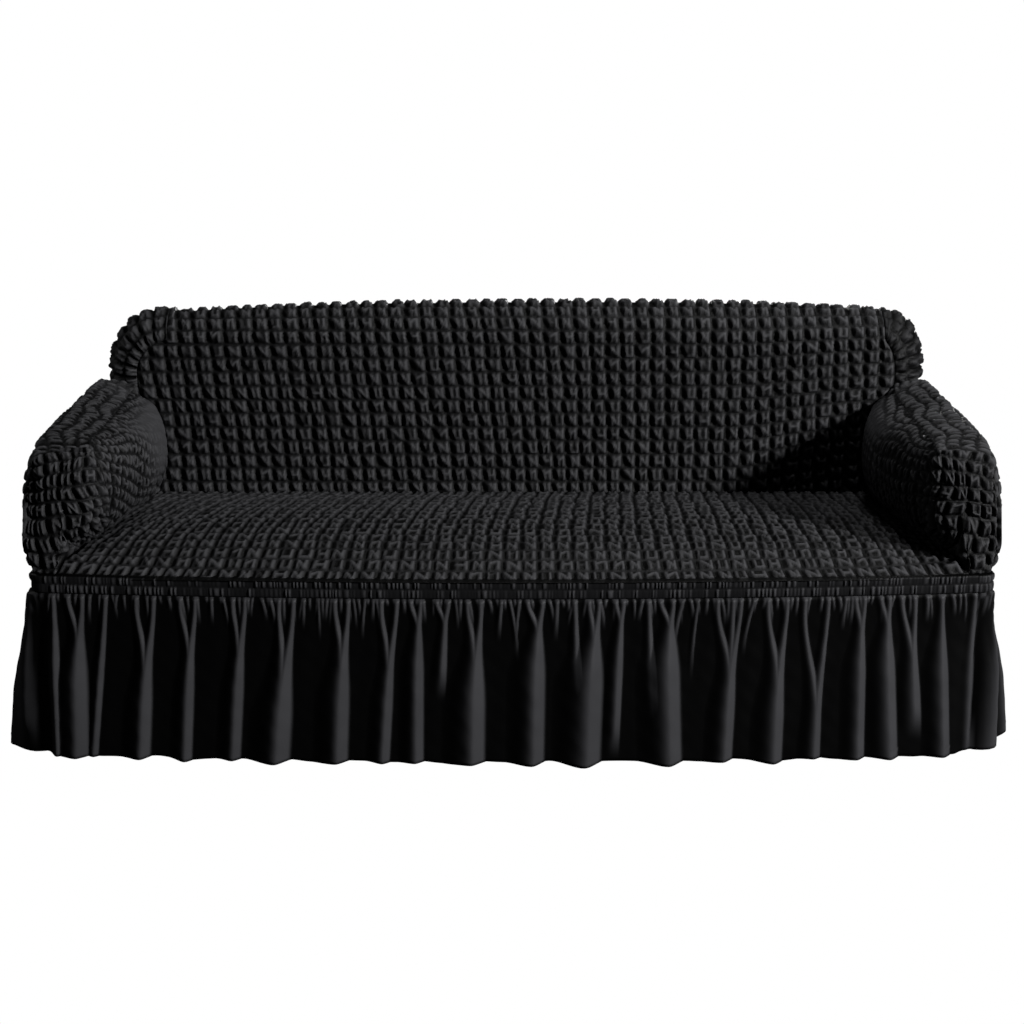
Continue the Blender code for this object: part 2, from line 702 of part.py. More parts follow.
def grid_panel(name, grid, cloth, outwards=1.0, closed=False):
    rows, cols = grid.shape[:2]
    verts = grid.reshape(-1, 3)
    return Panel(name, verts, ladder(verts, rows, cols, closed, outwards), cloth)


def ring_panel(name, rings, centre, cloth, outwards):
    count = len(rings[0])
    verts = np.concatenate([*rings, centre[None]])
    faces = ladder(verts, len(rings), count, True, outwards)
    last = (len(rings) - 1) * count
    for j in range(count):
        face = (last + j, last + (j + 1) % count, len(verts) - 1)
        faces.append(face if outwards > 0 else face[::-1])
    return Panel(name, verts, faces, cloth)


def weld_key(vert):
    return tuple(np.round(vert, 6) + 0.0)


def shared_normals(panels):
    """One way in for each place, so that neighbours thicken along the same lines at a seam.

    At an angle between panels it is the mitre, which keeps each panel's own thickness."""
    sums = {}
    for panel in panels:
        for face, normal in panel.face_normals():
            for corner in face:
                meeting = sums.setdefault(weld_key(panel.verts[corner]), {})
                meeting[panel.name] = meeting.get(panel.name, 0.0) + normal
    return {key: mitre(list(meeting.values())) for key, meeting in sums.items()}


def mitre(facings):
    """Vector whose share along each panel's facing is one, or the longest one allowed."""
    facings = np.array([facing / np.linalg.norm(facing) for facing in facings])
    way = np.linalg.lstsq(facings, np.ones(len(facings)), rcond=0.1)[0]
    return way * min(1.0, MITRE_LIMIT / np.linalg.norm(way))


def thicken(panel, normals):
    """Solid sheet: outer face as computed, inner face one cloth inwards, edges drawn in a little."""
    count = len(panel.verts)
    normal = np.array([normals[weld_key(v)] for v in panel.verts])
    level_rim = np.isclose(panel.verts[:, 2], BAND_TOP_Z) | np.isclose(panel.verts[:, 2], BAND_LOW_Z)
    normal[level_rim, 2] = 0.0
    normal[level_rim] /= np.linalg.norm(normal[level_rim], axis=1, keepdims=True)
    facing = normal / np.linalg.norm(normal, axis=1, keepdims=True)
    rim = panel.edges_on_rim()
    middle = np.zeros_like(panel.verts)
    shares = np.zeros(count)
    for face in panel.faces:
        centre = panel.verts[list(face)].mean(axis=0)
        for corner in face:
            middle[corner] += centre
            shares[corner] += 1
    middle /= shares[:, None]
    outer = panel.verts.copy()
    tangents = np.zeros_like(outer)
    for a, b in rim:
        step = panel.verts[b] - panel.verts[a]
        step /= np.linalg.norm(step)
        tangents[a] += step
        tangents[b] += step
    for v in {a for a, _ in rim}:
        inwards = middle[v] - panel.verts[v]
        tangent = tangents[v] / np.linalg.norm(tangents[v])
        inwards -= tangent * inwards.dot(tangent)
        inwards -= facing[v] * inwards.dot(facing[v])
        outer[v] += inwards / np.linalg.norm(inwards) * EDGE_PULL
    inner = outer - normal * panel.cloth
    faces = list(panel.faces)
    faces += [tuple(corner + count for corner in face[::-1]) for face in panel.faces]
    for a, b in rim:
        first = sum(weld_key(panel.verts[a]))
        second = sum(weld_key(panel.verts[b]))
        if first < second:
            faces += [(b, a, a + count), (b, a + count, b + count)]
        else:
            faces += [(b, a, b + count), (a, a + count, b + count)]
    return np.concatenate([outer, inner]), faces


def cloth_material(name, colour, roughness):
    material = bpy.data.materials.new(name)
    material.use_nodes = True
    shader = material.node_tree.nodes["Principled BSDF"]
    shader.inputs["Base Color"].default_value = (*colour, 1.0)
    shader.inputs["Roughness"].default_value = roughness
    shader.inputs["Metallic"].default_value = 0.0
    return material


def add_object(panel, normals, material, mount):
    verts, faces = thicken(panel, normals)
    mesh = bpy.data.meshes.new(panel.name)
    mesh.from_pydata((verts - mount).tolist(), [], faces)
    mesh.shade_smooth()
    mesh.materials.append(material)
    obj = bpy.data.objects.new(panel.name, mesh)
    bpy.context.scene.collection.objects.link(obj)
    return obj


def mount_point():
    """Underside of the cloth at the middle of the top roll, where the sofa's back holds it."""
    crest = roll_section(0.0, BACK_TOP_Z, 0.0, -1.0, 0.0)
    return crest - np.array([0.0, 0.0, BUBBLE_CLOTH])


def body_panels():
    panels = [
        grid_panel("inside_back", inside_back_panel(), BUBBLE_CLOTH),
        grid_panel("outside_back", outside_back_panel()[:, ::-1], BUBBLE_CLOTH),
        grid_panel("seat", seat_panel()[::-1], BUBBLE_CLOTH),
    ]
    for side, sign in SIDES.items():
        panels += [
            grid_panel(f"back_end_{side}", back_end_panel(side), BUBBLE_CLOTH, sign),
            grid_panel(f"arm_inside_{side}", arm_inside_panel(side), BUBBLE_CLOTH, -sign),
            grid_panel(f"arm_outside_{side}", arm_outside_panel(side), BUBBLE_CLOTH, -sign),
            ring_panel(f"arm_front_{side}", *arm_front_rings(side), BUBBLE_CLOTH, -sign),
        ]
    return panels


def build():
    for obj in list(bpy.data.objects):
        bpy.data.objects.remove(obj, do_unlink=True)
    mount = mount_point()
    panels = body_panels()
    normals = shared_normals(panels)
    bubble = (0.012, 0.012, 0.013)
    plain = (0.010, 0.010, 0.011)
    for panel in panels:
        add_object(panel, normals, cloth_material(panel.name, bubble, 0.8), mount)
    for panel in (grid_panel("heading_band", band_panel(), BAND_CLOTH, closed=True),
                  grid_panel("skirt", skirt_panel(), SKIRT_CLOTH, closed=True)):
        add_object(panel, shared_normals([panel]), cloth_material(panel.name, plain, 0.6), mount)


build()
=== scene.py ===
"""Looks of a fitted slipcover for a three-seat sofa, dressed over its solid panels.

Every piece is a thin sheet of cloth that hangs where its solid panel hangs: the same curves give its
shape, and the puckers, gathers and folds stand on it. Heights are measured from the floor while
shaping, and the finished sheets are then moved so that the top of the back is at the origin.
X runs along the sofa, Y to its back, Z up. Sizes are in metres.
"""

import bpy
import numpy as np
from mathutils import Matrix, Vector


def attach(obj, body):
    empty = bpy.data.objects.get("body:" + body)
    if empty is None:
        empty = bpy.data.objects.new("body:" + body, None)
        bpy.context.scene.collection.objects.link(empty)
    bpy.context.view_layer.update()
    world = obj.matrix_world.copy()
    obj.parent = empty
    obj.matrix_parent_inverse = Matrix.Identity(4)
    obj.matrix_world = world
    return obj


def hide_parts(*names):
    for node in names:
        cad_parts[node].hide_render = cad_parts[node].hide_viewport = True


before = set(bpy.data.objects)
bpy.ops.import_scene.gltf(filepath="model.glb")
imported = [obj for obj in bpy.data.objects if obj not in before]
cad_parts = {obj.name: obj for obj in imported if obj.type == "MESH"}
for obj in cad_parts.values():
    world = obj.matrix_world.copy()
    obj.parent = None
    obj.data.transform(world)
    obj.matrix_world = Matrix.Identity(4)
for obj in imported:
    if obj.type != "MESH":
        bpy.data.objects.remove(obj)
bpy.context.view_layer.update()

# Heights above the floor
HEM_Z = 0.010
BAND_LOW_Z = 0.360
BAND_TOP_Z = 0.400
SEAT_Z = 0.430
BACK_TOP_Z = 0.872

# Plan of the heading band
HALF_WIDTH = 0.990
FRONT_CENTRE_Y = -0.422
FRONT_BOW = 0.042
BACK_Y = 0.410
FRONT_CORNER_RADIUS = 0.035
BACK_CORNER_RADIUS = 0.050
FRONT_PLAN_STEPS = 60
CORNER_PLAN_STEPS = 24
PLAN_FEEL = 0.004

# Back of the sofa
CREASE_Y = 0.190
BACK_LEAN = 0.030
BACK_HALF_THICKNESS = 0.080
ROLL_RADIUS = 0.070
TOP_ARCH_DROP = 0.022
TOP_ARCH_AT = 0.850
TOP_ARCH_POWER = 2.5
TOP_TILT = 0.006
CORNER_DROP = {"left": 0.122, "right": 0.115}
NECK_ANGLE = -np.radians(16)
NECK_DIP = 0.030
END_RADIUS = {"left": 0.144, "right": 0.097}
END_X = {"left": 0.944, "right": 0.962}

# Seat: its ends run level along the arms, and its middle is a soft crown
ARM_TIP_Y = -0.346
SEAT_END_X = 0.932
SEAT_CROWN = (
    (0.00, 0.000),
    (0.06, 0.017),
    (0.12, 0.031),
    (0.20, 0.044),
    (0.30, 0.053),
    (0.42, 0.058),
    (0.58, 0.056),
    (0.75, 0.048),
    (1.00, 0.030),
)
CROWN_SIDE_POWER = 8

# Arms: sections across an arm, from the front to the back, for the right arm
ARM_COLUMNS = ("y", "crease_x", "belly_x", "belly_z", "seam_x", "seam_z", "knee_x", "knee_z")
ARM_SECTIONS = (
    (-0.346, 0.915, 0.862, 0.560, 0.864, 0.645, 0.970, 0.630),
    (-0.325, 0.911, 0.842, 0.560, 0.861, 0.655, 0.974, 0.642),
    (-0.270, 0.903, 0.818, 0.560, 0.862, 0.662, 0.978, 0.655),
    (-0.150, 0.884, 0.798, 0.560, 0.867, 0.665, 0.977, 0.668),
    (0.000, 0.861, 0.782, 0.563, 0.874, 0.667, 0.973, 0.680),
    (0.120, 0.842, 0.800, 0.568, 0.882, 0.669, 0.967, 0.692),
    (0.215, 0.828, 0.834, 0.575, 0.889, 0.671, 0.960, 0.700),
)
BELLY_SHIFT = {"left": -0.010, "right": 0.003}
FRONT_SEAM_FOOT_Y = {"left": -0.262, "right": -0.282}
FRONT_SEAM_TOP_Y = -0.325
FRONT_SEAM_BEND = 0.75
UNDERCUT = (0.62, 0.30)
INNER_SHOULDER = (0.30, 0.74)
INSIDE_SHARES = (0.0, 0.22, 0.56, 0.84, 1.0)
ARM_TOP_CROWN = 0.006
ARM_SIDE_PUFF = 0.014
ARM_SIDE_Z = 0.500
ARM_SIDE_TWIST = 0.35
OUTER_SHOULDER = (0.30, 0.70, 0.70)
OUTER_TUCK = (1.00, 0.30, 0.35)
NECK_KNEE = 0.010
NECK_SPREAD = 0.12
NECK_DROP_TURN = -np.radians(30)
REAR_PUFF = 0.008
ARM_FRONT_MIDDLE = (0.915, 0.545)
ARM_FRONT_FOOT_Y = -0.375
ARM_FRONT_LEAN = 0.130
ARM_FRONT_PUFF = 0.010
ARM_FRONT_ROUNDING = 5

# Skirt
SKIRT_FLARE = 0.012
SKIRT_FLARE_POWER = 1.2
SIDE_SWEEP = {"left": 0.054, "right": 0.053}
SIDE_SWEEP_AT = {"left": 0.095, "right": 0.16}
SIDE_SWEEP_SPREAD = {"left": 0.060, "right": 0.08}
CORNER_PINCH = {"left": 0.020, "right": 0.034}
CORNER_PINCH_AT = {"left": 0.018, "right": 0.006}
CORNER_PINCH_SPREAD = {"left": 0.018, "right": 0.028}
SWEEP_POWER = 0.5
HEM_WAVE = 0.003

# Steps of the guide sheets, from which the fine sheets are read off
COLUMNS = 60
ARM_LENGTH_STEPS = 24
ARM_HEIGHT_STEPS = 14
ARM_OVER_STEPS = 32
ROLL_STEPS = 16
END_STEPS = 14
FRONT_ROLL_STEPS = 8
BAND_SILL_STEPS = 4
ARM_FRONT_RINGS = (1.0, 0.95, 0.88, 0.78, 0.64, 0.48, 0.30, 0.14)

# Puckered cloth: every bubble is held by a flat elastic row above and below it
BUBBLE = 0.0355
CORE_DEPTH = 0.0060
PUFF_HEIGHT = 0.0088
CRUMPLE_SHARE = 0.64
# Share of painted light left in a bubble's pockets and on its elastic rows, which are painted shade
PAINTED_POCKET_LIGHT = 0.02
PAINTED_ROW_LIGHT = 0.12
GAP_DEPTH = 0.0035
ROW_HOLLOW = 0.0008
TUCK = 0.010
FRONT_BUBBLE = 0.0315
ARM_BUBBLE = 0.030
ARM_ROW_PITCH = 0.028
BACK_ROW_PITCH = 0.0325

# Quads across and up in one bubble of each fine sheet, and the rings of an arm front
FINENESS = {
    "inside_back": 9.6,
    "seat": 9.8,
    "outside_back": 6.0,
    "back_end": 9.0,
    "arm_inside": 15.0,
    "arm_outside": 12.0,
}
ROLL_FINENESS = 5
ARM_FRONT_COUNTS = (36, 264)
ARM_OVER_FINE_STEPS = 120

# How the bubbles of each panel are drawn, where it isn't the usual way
PUCKERS = {
    "inside_back": {"seed": 3},
    "outside_back": {"seed": 5},
    "seat": {"seed": 9, "gap": 0.12, "crumple": 1.2, "painted_row_light": 0.18, "first_crease": 0.27},
    "back_end": {"seed": 13},
    "arm_inside": {"seed": 17, "gap": 0.30, "crumple": 1.15, "first_crease": 0.30},
    "arm_outside": {"seed": 21, "gap": 0.26, "crumple": 1.2, "first_crease": 0.28},
    "arm_front": {"seed": 23, "gap": 0.18},
}
# How far from a seam the bubbles reach their full height, and the share of painted light left at the seam,
# which is painted shade there
SEAM_FADE = {
    "inside_back": (0.009, 0.85),
    "outside_back": (0.012, 0.55),
    "seat": (0.003, 0.0),
    "back_end": (0.009, 0.85),
    "arm_inside": (0.012, 0.55),
    "arm_outside": (0.006, 0.8),
    "arm_front": (0.006, 0.8),
}
# How rows and columns wander, across and up: (bubbles, size of the waves)
WANDER = {
    "arm_inside": ((0.40, 0.13), (0.35, 0.16)),
    "arm_outside": ((0.45, 0.12), (0.40, 0.15)),
    "arm_front": ((0.30, 0.11), (0.25, 0.13)),
}
WANDER_SEED = {"arm_inside": 19, "arm_outside": 27, "arm_front": 23}

# Inside back: its rows rise at the right, and its columns lean at the left
ROLL_EASING = 12
BACK_FIRST_ROW = 0.15
BACK_ROW_RISE = 0.055
BACK_RISE_FROM_X = (0.48, 0.88)
BACK_RISE_UP_TO = 0.50
BACK_COLUMN_LEAN = 0.10
BACK_LEAN_UP_TO_X = (-0.10, 0.40)
BACK_LEAN_PIVOT = 0.40

# Seat: towards the back its columns turn to ribs
SEAT_FIRST_ROW = 0.1
SEAT_LEAN = 0.080
SEAT_RELIEF = 0.68
SEAT_RIBS = 0.36
SEAT_RIBS_FROM = (0.30, 0.75)
SEAT_RIB_SHIFT = 0.1
SEAT_RIB_HEIGHT = 0.75
SEAT_RIB_SQUARENESS = 6
SEAT_RIB_FLANK = (0.06, 0.20)
# Share of painted highlight on the seat ribs' flanks
SEAT_RIB_PAINTED_LIGHT = 0.65

# Ends of the back: they are fullest away from their seams and low down
BACK_END_FIRST_ROW = 0.2
BACK_END_FULLNESS = 0.009
BACK_END_FULL_FROM = 0.06
BACK_END_FLAT_FROM = (0.60, 0.95)
# Share of painted light on each back end: the right end is painted darker as shade, the left a little
# lighter
BACK_END_PAINTED_LIGHT = {"left": 1.15, "right": 0.42}

# Arms: high up and to the back the inside is pulled nearly smooth, and so is the top at the neck
ARM_INSIDE_RELIEF = 0.60
ARM_ROW_TURN = {"left": np.radians(24), "right": 0.0}
ARM_PULL = {"left": 1.0, "right": 0.8}
ARM_PULL_BACK_FROM = (0.30, 0.62)
ARM_PULL_UP_FROM = (0.28, 0.50)
ARM_PULL_UP_TO = (0.80, 0.95)
ARM_PULL_FLATTENS = 0.75
# Where the arm's cloth is pulled smooth, its painted shade is lifted toward this share of painted light
PULLED_PAINTED_LIGHT = 0.75
ARM_PULL_LIGHTENS = 0.85
ARM_ROW_RELIEF = 0.65
ARM_ROWS_MORE = 1.12
NECK_FROM_REAR = 0.20
NECK_PULL = 0.3
NECK_PULL_REACH = (0.08, 0.20)
NECK_PULL_FLATTENS = 0.5

# Arm fronts
FRONT_ROW_TILT = -7.0
FRONT_RELIEF = 1.1
# Share of painted light on each arm front: the right one is painted darker as shade
ARM_FRONT_PAINTED_LIGHT = {"left": 0.95, "right": 0.75}
FRONT_EDGE_ROUNDING = {"left": 0.009, "right": 0.003}
FRONT_EDGE_SPREAD = 0.035
FRONT_EDGE_FROM_Z = 0.52

# Heading band: two shirred channels, one above the other
BAND_ROWS = 17
BAND_FRONT_STEPS = 6
BAND_OTHER_STEPS = 3
BAND_CHANNELS = (0.0, 0.5)
BAND_CHANNEL_HEIGHT = 0.0010
BAND_INSET = 0.0020
BAND_TOP_TUCK = 0.0050
BAND_TUCK_FROM = (0.90, 1.0)
# Painted shade darkens the band's top, under the overhang of the seat's edge
BAND_PAINTED_SHADE_FROM = (0.86, 0.93)
SHIRR_PITCH = 0.0085
SHIRR_HEIGHT = 0.0038
# Share of painted light on the band between shirrs
PAINTED_SHIRR_LIGHT = 0.20
SHIRR_DRAWS = 2000

# Folds across the front of the skirt. Each starts at one or more places under the band, and its
# branches join into one fold at a share of the drop. Reach is where a short fold dies out. Places are
# metres along the band from the middle of the front, and widths are metres at the hem.
FOLD_COLUMNS = ("hem_x", "tops", "join", "width", "reach")
FRONT_FOLDS = (
    (-0.996, (-1.000,), 0.20, 0.018, 0.95),
    (-0.944, (-0.935,), 0.20, 0.016, 1.00),
    (-0.894, (-0.904, -0.875), 0.24, 0.031, 1.00),
    (-0.868, (-0.825,), 0.20, 0.012, 1.00),
    (-0.762, (-0.762, -0.726), 0.40, 0.025, 1.00),
    (-0.6725, (-0.671, -0.640), 0.31, 0.019, 1.00),
    (-0.571, (-0.563, -0.538), 0.30, 0.021, 1.00),
    (-0.4745, (-0.4685, -0.4395), 0.45, 0.036, 1.00),
    (-0.351, (-0.3556, -0.3286), 0.33, 0.029, 1.00),
    (-0.261, (-0.261, -0.230), 0.36, 0.020, 1.00),
    (-0.191, (-0.202, -0.182), 0.14, 0.021, 1.00),
    (-0.149, (-0.149, -0.126), 0.12, 0.014, 0.58),
    (-0.0707, (-0.0875, -0.0605), 0.33, 0.035, 1.00),
    (0.0534, (0.0343, 0.0637), 0.16, 0.031, 1.00),
    (0.145, (0.129,), 0.20, 0.013, 0.61),
    (0.166, (0.1585, 0.1786), 0.20, 0.040, 1.00),
    (0.2136, (0.212, 0.228), 0.12, 0.016, 0.95),
    (0.299, (0.278,), 0.20, 0.012, 0.71),
    (0.336, (0.3025, 0.3276), 0.14, 0.036, 1.00),
    (0.445, (0.419, 0.4506, 0.466), 0.40, 0.024, 1.00),
    (0.548, (0.522, 0.5604), 0.44, 0.027, 1.00),
    (0.6306, (0.597, 0.6445), 0.61, 0.019, 1.00),
    (0.723, (0.701, 0.719), 0.18, 0.021, 1.00),
    (0.792, (0.7528, 0.770), 0.15, 0.027, 1.00),
    (0.847, (0.7957, 0.8225), 0.33, 0.023, 0.86),
    (0.905, (0.879,), 0.20, 0.024, 1.00),
    (0.967, (0.951,), 0.20, 0.014, 1.00),
)
# Short gathers under the band that the folds above leave out: (place, reach)
SHORT_GATHERS = (
    (-0.587, 0.20), (-0.491, 0.20), (-0.421, 0.20), (-0.392, 0.27), (-0.374, 0.15), (-0.297, 0.27),
    (-0.275, 0.25), (-0.022, 0.27), (-0.006, 0.40), (0.014, 0.36), (0.090, 0.27), (0.345, 0.35),
    (0.376, 0.52), (0.491, 0.38), (0.678, 0.22),
)

# Folds and gathers of the skirt, all round
GATHER_PITCH = 0.0145
GATHER_WIDTH = (0.0032, 0.0052)
GATHER_HEIGHT = 0.85
# Share of painted highlight on the gathers' lit flanks
PAINTED_GATHER_LIGHT = 0.8
SIDE_FOLD_PITCH = 0.088
BACK_FOLD_PITCH = 0.105
SIDE_FOLDS_FROM = 0.010
FOLD_MIDDLE = 0.78
FOLD_GROWTH = 0.34
FOLD_LEAN = 0.15
FOLD_LEFT_REACH = 1.7
FOLD_ROUNDING = 0.25
FLANK_SLOPE = 0.72
FOLD_DEPTH = 0.027
TOP_FOLD_WIDTH = 0.0075
VALLEY_DEPTH = 0.004
VALLEY_FULL_AT = 0.3
# Share of painted light left in the skirt's valleys, which are painted shade
PAINTED_VALLEY_LIGHT = 0.025
TOP_TUCK = 0.0025
TOP_TUCK_REACH = 0.018
RIPPLE_HEIGHT = 0.0006
HEM_TURN = 0.022
HEM_FOLD = 0.001
HEM_THICKNESS = 0.0016
LEDGE_DEPTH = 0.008
LEDGE_RISE = 0.0005
SKIRT_ROWS = 60
SKIRT_ROW_SPACING = 1.25
FRONT_COLUMNS = 1080
OTHER_COLUMNS = 520

# Dyed cloth. Stitches and threads are usually well under 1 mm apart, which is too fine to show, so the knit
# and the weave are both drawn coarser, at nine to the centimetre. Crinkles and ripples are wide enough to
# show, at 21 and 6 over 10 cm. The dye is uneven in wide patches.
POLYESTER_IOR = 1.50
# Black of the painted shade in gaps, pockets, valleys and under the band; each colour ramp runs from it up
# to a painted highlight grey
PAINTED_SHADE_BLACK = "#020202"
THREAD_MM = 10 / 9
CRINKLE_MM = 100 / 21
RIPPLE_MM = 100 / 6
SEERSUCKER_PATCH_MM = 1000 / 9
MICROFIBRE_PATCH_MM = 1000 / 6
MM_PER_METRE = 1000

# Camera, lamps and floor: each lamp has its place, aim, size and watts
PITCH = np.radians(15)
CAMERA_Y = -3.59
CAMERA_Z = 1.392
LENS_MM = 58.0
SENSOR_MM = 36.0
AMBIENT = 0.012
FLOOR_HALF = 30.0
LAMPS = {
    "key": ((5.2, -3.75, 3.3), (0.2, 0.0, 0.45), (0.8, 0.8), 800),
    "top lamp": ((0.80, 0.20, 3.6), (0.0, -0.1, 0.4), (0.8, 0.8), 46),
    "low lamp behind left": ((-4.0, 0.8, 2.2), (0.0, 0.0, 0.6), (0.8, 0.8), 16),
    "fill behind": ((1.2, 4.2, 0.9), (0.0, 0.2, 0.5), (2.0, 1.0), 260),
}

SIDES = {"left": -1.0, "right": 1.0}


# ---------------------------------------------------------------- curves and small helpers

def smooth_steps(knots, values, at):
    """Values read off a smooth curve through the knots (cubic Hermite)."""
    knots = np.asarray(knots, float)
    values = np.asarray(values, float)
    at = np.clip(np.asarray(at, float), knots[0], knots[-1])
    slopes = np.gradient(values, knots, axis=0)
    i = np.clip(np.searchsorted(knots, at) - 1, 0, len(knots) - 2)
    width = knots[i + 1] - knots[i]
    f = (at - knots[i]) / width
    if values.ndim > 1:
        f = f[..., None]
        width = width[..., None]
    return ((2 * f**3 - 3 * f**2 + 1) * values[i] + (f**3 - 2 * f**2 + f) * width * slopes[i]
            + (3 * f**2 - 2 * f**3) * values[i + 1] + (f**3 - f**2) * width * slopes[i + 1])


def smoothstep(low, high, x):
    f = np.clip((x - low) / (high - low), 0, 1)
    return f * f * (3 - 2 * f)


def points(x, y, z):
    return np.stack(np.broadcast_arrays(x, y, z), axis=-1).astype(float)


def mirrored(side, line):
    """Points computed for the right side, moved to the side that is wanted."""
    return line * np.array([SIDES[side], 1.0, 1.0])


def between(a, b, share):
    return a + (b - a) * share


def run_along(line):
    """Distance run from the first point of a line to each of its points."""
    return np.concatenate([[0], np.cumsum(np.linalg.norm(np.diff(line, axis=0), axis=1))])


def at_shares(line, shares):
    """Points of a line at the given shares of its length."""
    run = run_along(line)
    return np.stack([np.interp(shares * run[-1], run, line[:, k]) for k in range(3)], axis=1)


def fill(left, right, bottom, top):
    """A sheet between four edge lines. Rows run left to right, and the first row is the bottom."""
    u = np.linspace(0, 1, len(bottom))[None, :, None]
    w = np.linspace(0, 1, len(left))[:, None, None]
    between_sides = (1 - u) * left[:, None] + u * right[:, None]
    between_ends = (1 - w) * bottom[None] + w * top[None]
    corners = ((1 - u) * (1 - w) * bottom[0] + u * (1 - w) * bottom[-1]
               + (1 - u) * w * top[0] + u * w * top[-1])
    return between_sides + between_ends - corners


# ---------------------------------------------------------------- the heading line round the sofa

def right_half_plan():
    straight = HALF_WIDTH - FRONT_CORNER_RADIUS
    x = np.linspace(0, straight, FRONT_PLAN_STEPS)
    front = np.stack([x, FRONT_CENTRE_Y + FRONT_BOW * (x / straight) ** 2], axis=1)
    turn = np.linspace(-np.pi / 2, 0, CORNER_PLAN_STEPS)[1:]
    centre_y = front[-1, 1] + FRONT_CORNER_RADIUS
    front_corner = np.stack([straight + FRONT_CORNER_RADIUS * np.cos(turn),
                             centre_y + FRONT_CORNER_RADIUS * np.sin(turn)], axis=1)
    turn = np.linspace(0, np.pi / 2, CORNER_PLAN_STEPS)
    back_corner = np.stack([HALF_WIDTH + BACK_CORNER_RADIUS * (np.cos(turn) - 1),
                            BACK_Y + BACK_CORNER_RADIUS * (np.sin(turn) - 1)], axis=1)
    return np.concatenate([front, front_corner, back_corner, [[0.0, BACK_Y]]])


HALF_PLAN = right_half_plan()
WHOLE_PLAN = np.concatenate([HALF_PLAN, HALF_PLAN[::-1][1:] * [-1, 1]])
PLAN_RUN = run_along(WHOLE_PLAN)
PLAN_LENGTH = PLAN_RUN[-1]
FRONT_HALF_RUN = PLAN_RUN[FRONT_PLAN_STEPS - 1]
CORNER_RUN = FRONT_HALF_RUN + FRONT_CORNER_RADIUS * np.pi / 4
SIDE_START_RUN = FRONT_HALF_RUN + FRONT_CORNER_RADIUS * np.pi / 2
SIDE_LENGTH = BACK_Y - FRONT_CENTRE_Y - FRONT_BOW - FRONT_CORNER_RADIUS - BACK_CORNER_RADIUS
BACK_CORNER_RUN = SIDE_START_RUN + SIDE_LENGTH
REAR_SEAM_RUN = BACK_CORNER_RUN + BACK_CORNER_RADIUS * np.pi / 2
NECK_RUN = BACK_CORNER_RUN - NECK_SPREAD


def plan_at(run):
    """Place on the heading line, by the distance run from the middle of the front, rightwards."""
    run = np.mod(run, PLAN_LENGTH)
    return np.stack([np.interp(run, PLAN_RUN, WHOLE_PLAN[:, k]) for k in (0, 1)], axis=-1)


def plan_normal(run):
    along = plan_at(run + PLAN_FEEL) - plan_at(run - PLAN_FEEL)
    out = np.stack([along[..., 1], -along[..., 0]], axis=-1)
    return out / np.linalg.norm(out, axis=-1, keepdims=True)


def heading_line(side, run):
    place = plan_at(run)
    return mirrored(side, points(place[:, 0], place[:, 1], BAND_TOP_Z))


# ---------------------------------------------------------------- guide sheets: the back

def inside_face_y(z):
    return CREASE_Y + BACK_LEAN * (z - SEAT_Z)


def top_arch(x):
    return BACK_TOP_Z - TOP_ARCH_DROP * (np.abs(x) / TOP_ARCH_AT) ** TOP_ARCH_POWER + TOP_TILT * x


def roll_section(crest_x, crest_z, in_x, in_z, turn):
    """Half-round across the edge of the back: turn is -90 degrees inside, +90 outside."""
    inset = ROLL_RADIUS * (1 - np.cos(turn))
    x = crest_x + in_x * inset
    z = crest_z + in_z * inset
    y = inside_face_y(z) + BACK_HALF_THICKNESS * (1 + np.sin(turn))
    return points(x, y, z)


def across_share(turn):
    """0 on the inside rim of the roll, 1 on its outside rim."""
    return (1 + np.sin(turn)) / 2


def top_start_x(side):
    return END_X[side] - END_RADIUS[side]


def back_end(side, t, turn):
    """Round end of the back, from the arm (t = 0) over the corner to the top (t = 1)."""
    angle = NECK_ANGLE + (np.pi / 2 - NECK_ANGLE) * t
    radius = END_RADIUS[side]
    x = top_start_x(side) + radius * np.cos(angle)
    drop = CORNER_DROP[side]
    z = top_arch(x) - drop * (1 - np.sin(angle)) - NECK_DIP * (1 - t) ** 2 * (1 - across_share(turn))
    out_x = drop * np.cos(angle)
    out_z = radius * np.sin(angle)
    length = np.hypot(out_x, out_z)
    return mirrored(side, roll_section(x, z, -out_x / length, -out_z / length, turn))


ROLL_TURNS = np.linspace(-np.pi / 2, np.pi / 2, ROLL_STEPS + 1)
END_PLACES = np.linspace(0, 1, END_STEPS + 1)


# ---------------------------------------------------------------- guide sheets: the arms

def arm_value(name, y):
    table = np.array(ARM_SECTIONS)
    return smooth_steps(table[:, 0], table[:, ARM_COLUMNS.index(name)], y)


def arm_inside_section(side, y, t):
    """Inside of an arm at y, from the crease with the seat (t = 0) to the top seam (t = 1)."""
    crease = np.array([arm_value("crease_x", y), SEAT_Z])
    belly = np.array([arm_value("belly_x", y) + BELLY_SHIFT[side], arm_value("belly_z", y)])
    seam = np.array([arm_value("seam_x", y), arm_value("seam_z", y)])
    through = (crease, between(crease, belly, np.array(UNDERCUT)), belly,
               between(belly, seam, np.array(INNER_SHOULDER)), seam)
    x, z = smooth_steps(INSIDE_SHARES, through, t)
    return mirrored(side, np.array([x, y, z]))


def arm_front_seam_y(side, t):
    foot = FRONT_SEAM_FOOT_Y[side]
    return between(foot, FRONT_SEAM_TOP_Y, smoothstep(0, FRONT_SEAM_BEND, t))


def arm_inside_row(side, t, steps):
    """A line along the inside of an arm at one height share, from the front seam to the back."""
    front_y = arm_front_seam_y(side, t)
    height = arm_inside_section(side, CREASE_Y, t)[2]
    ys = np.linspace(front_y, inside_face_y(height), steps + 1)
    return np.array([arm_inside_section(side, y, t) for y in ys])


def back_base_line(side):
    """Foot of the back's round end, where it stands on the arm: the first point is on the seam."""
    return back_end(side, 0.0, ROLL_TURNS)


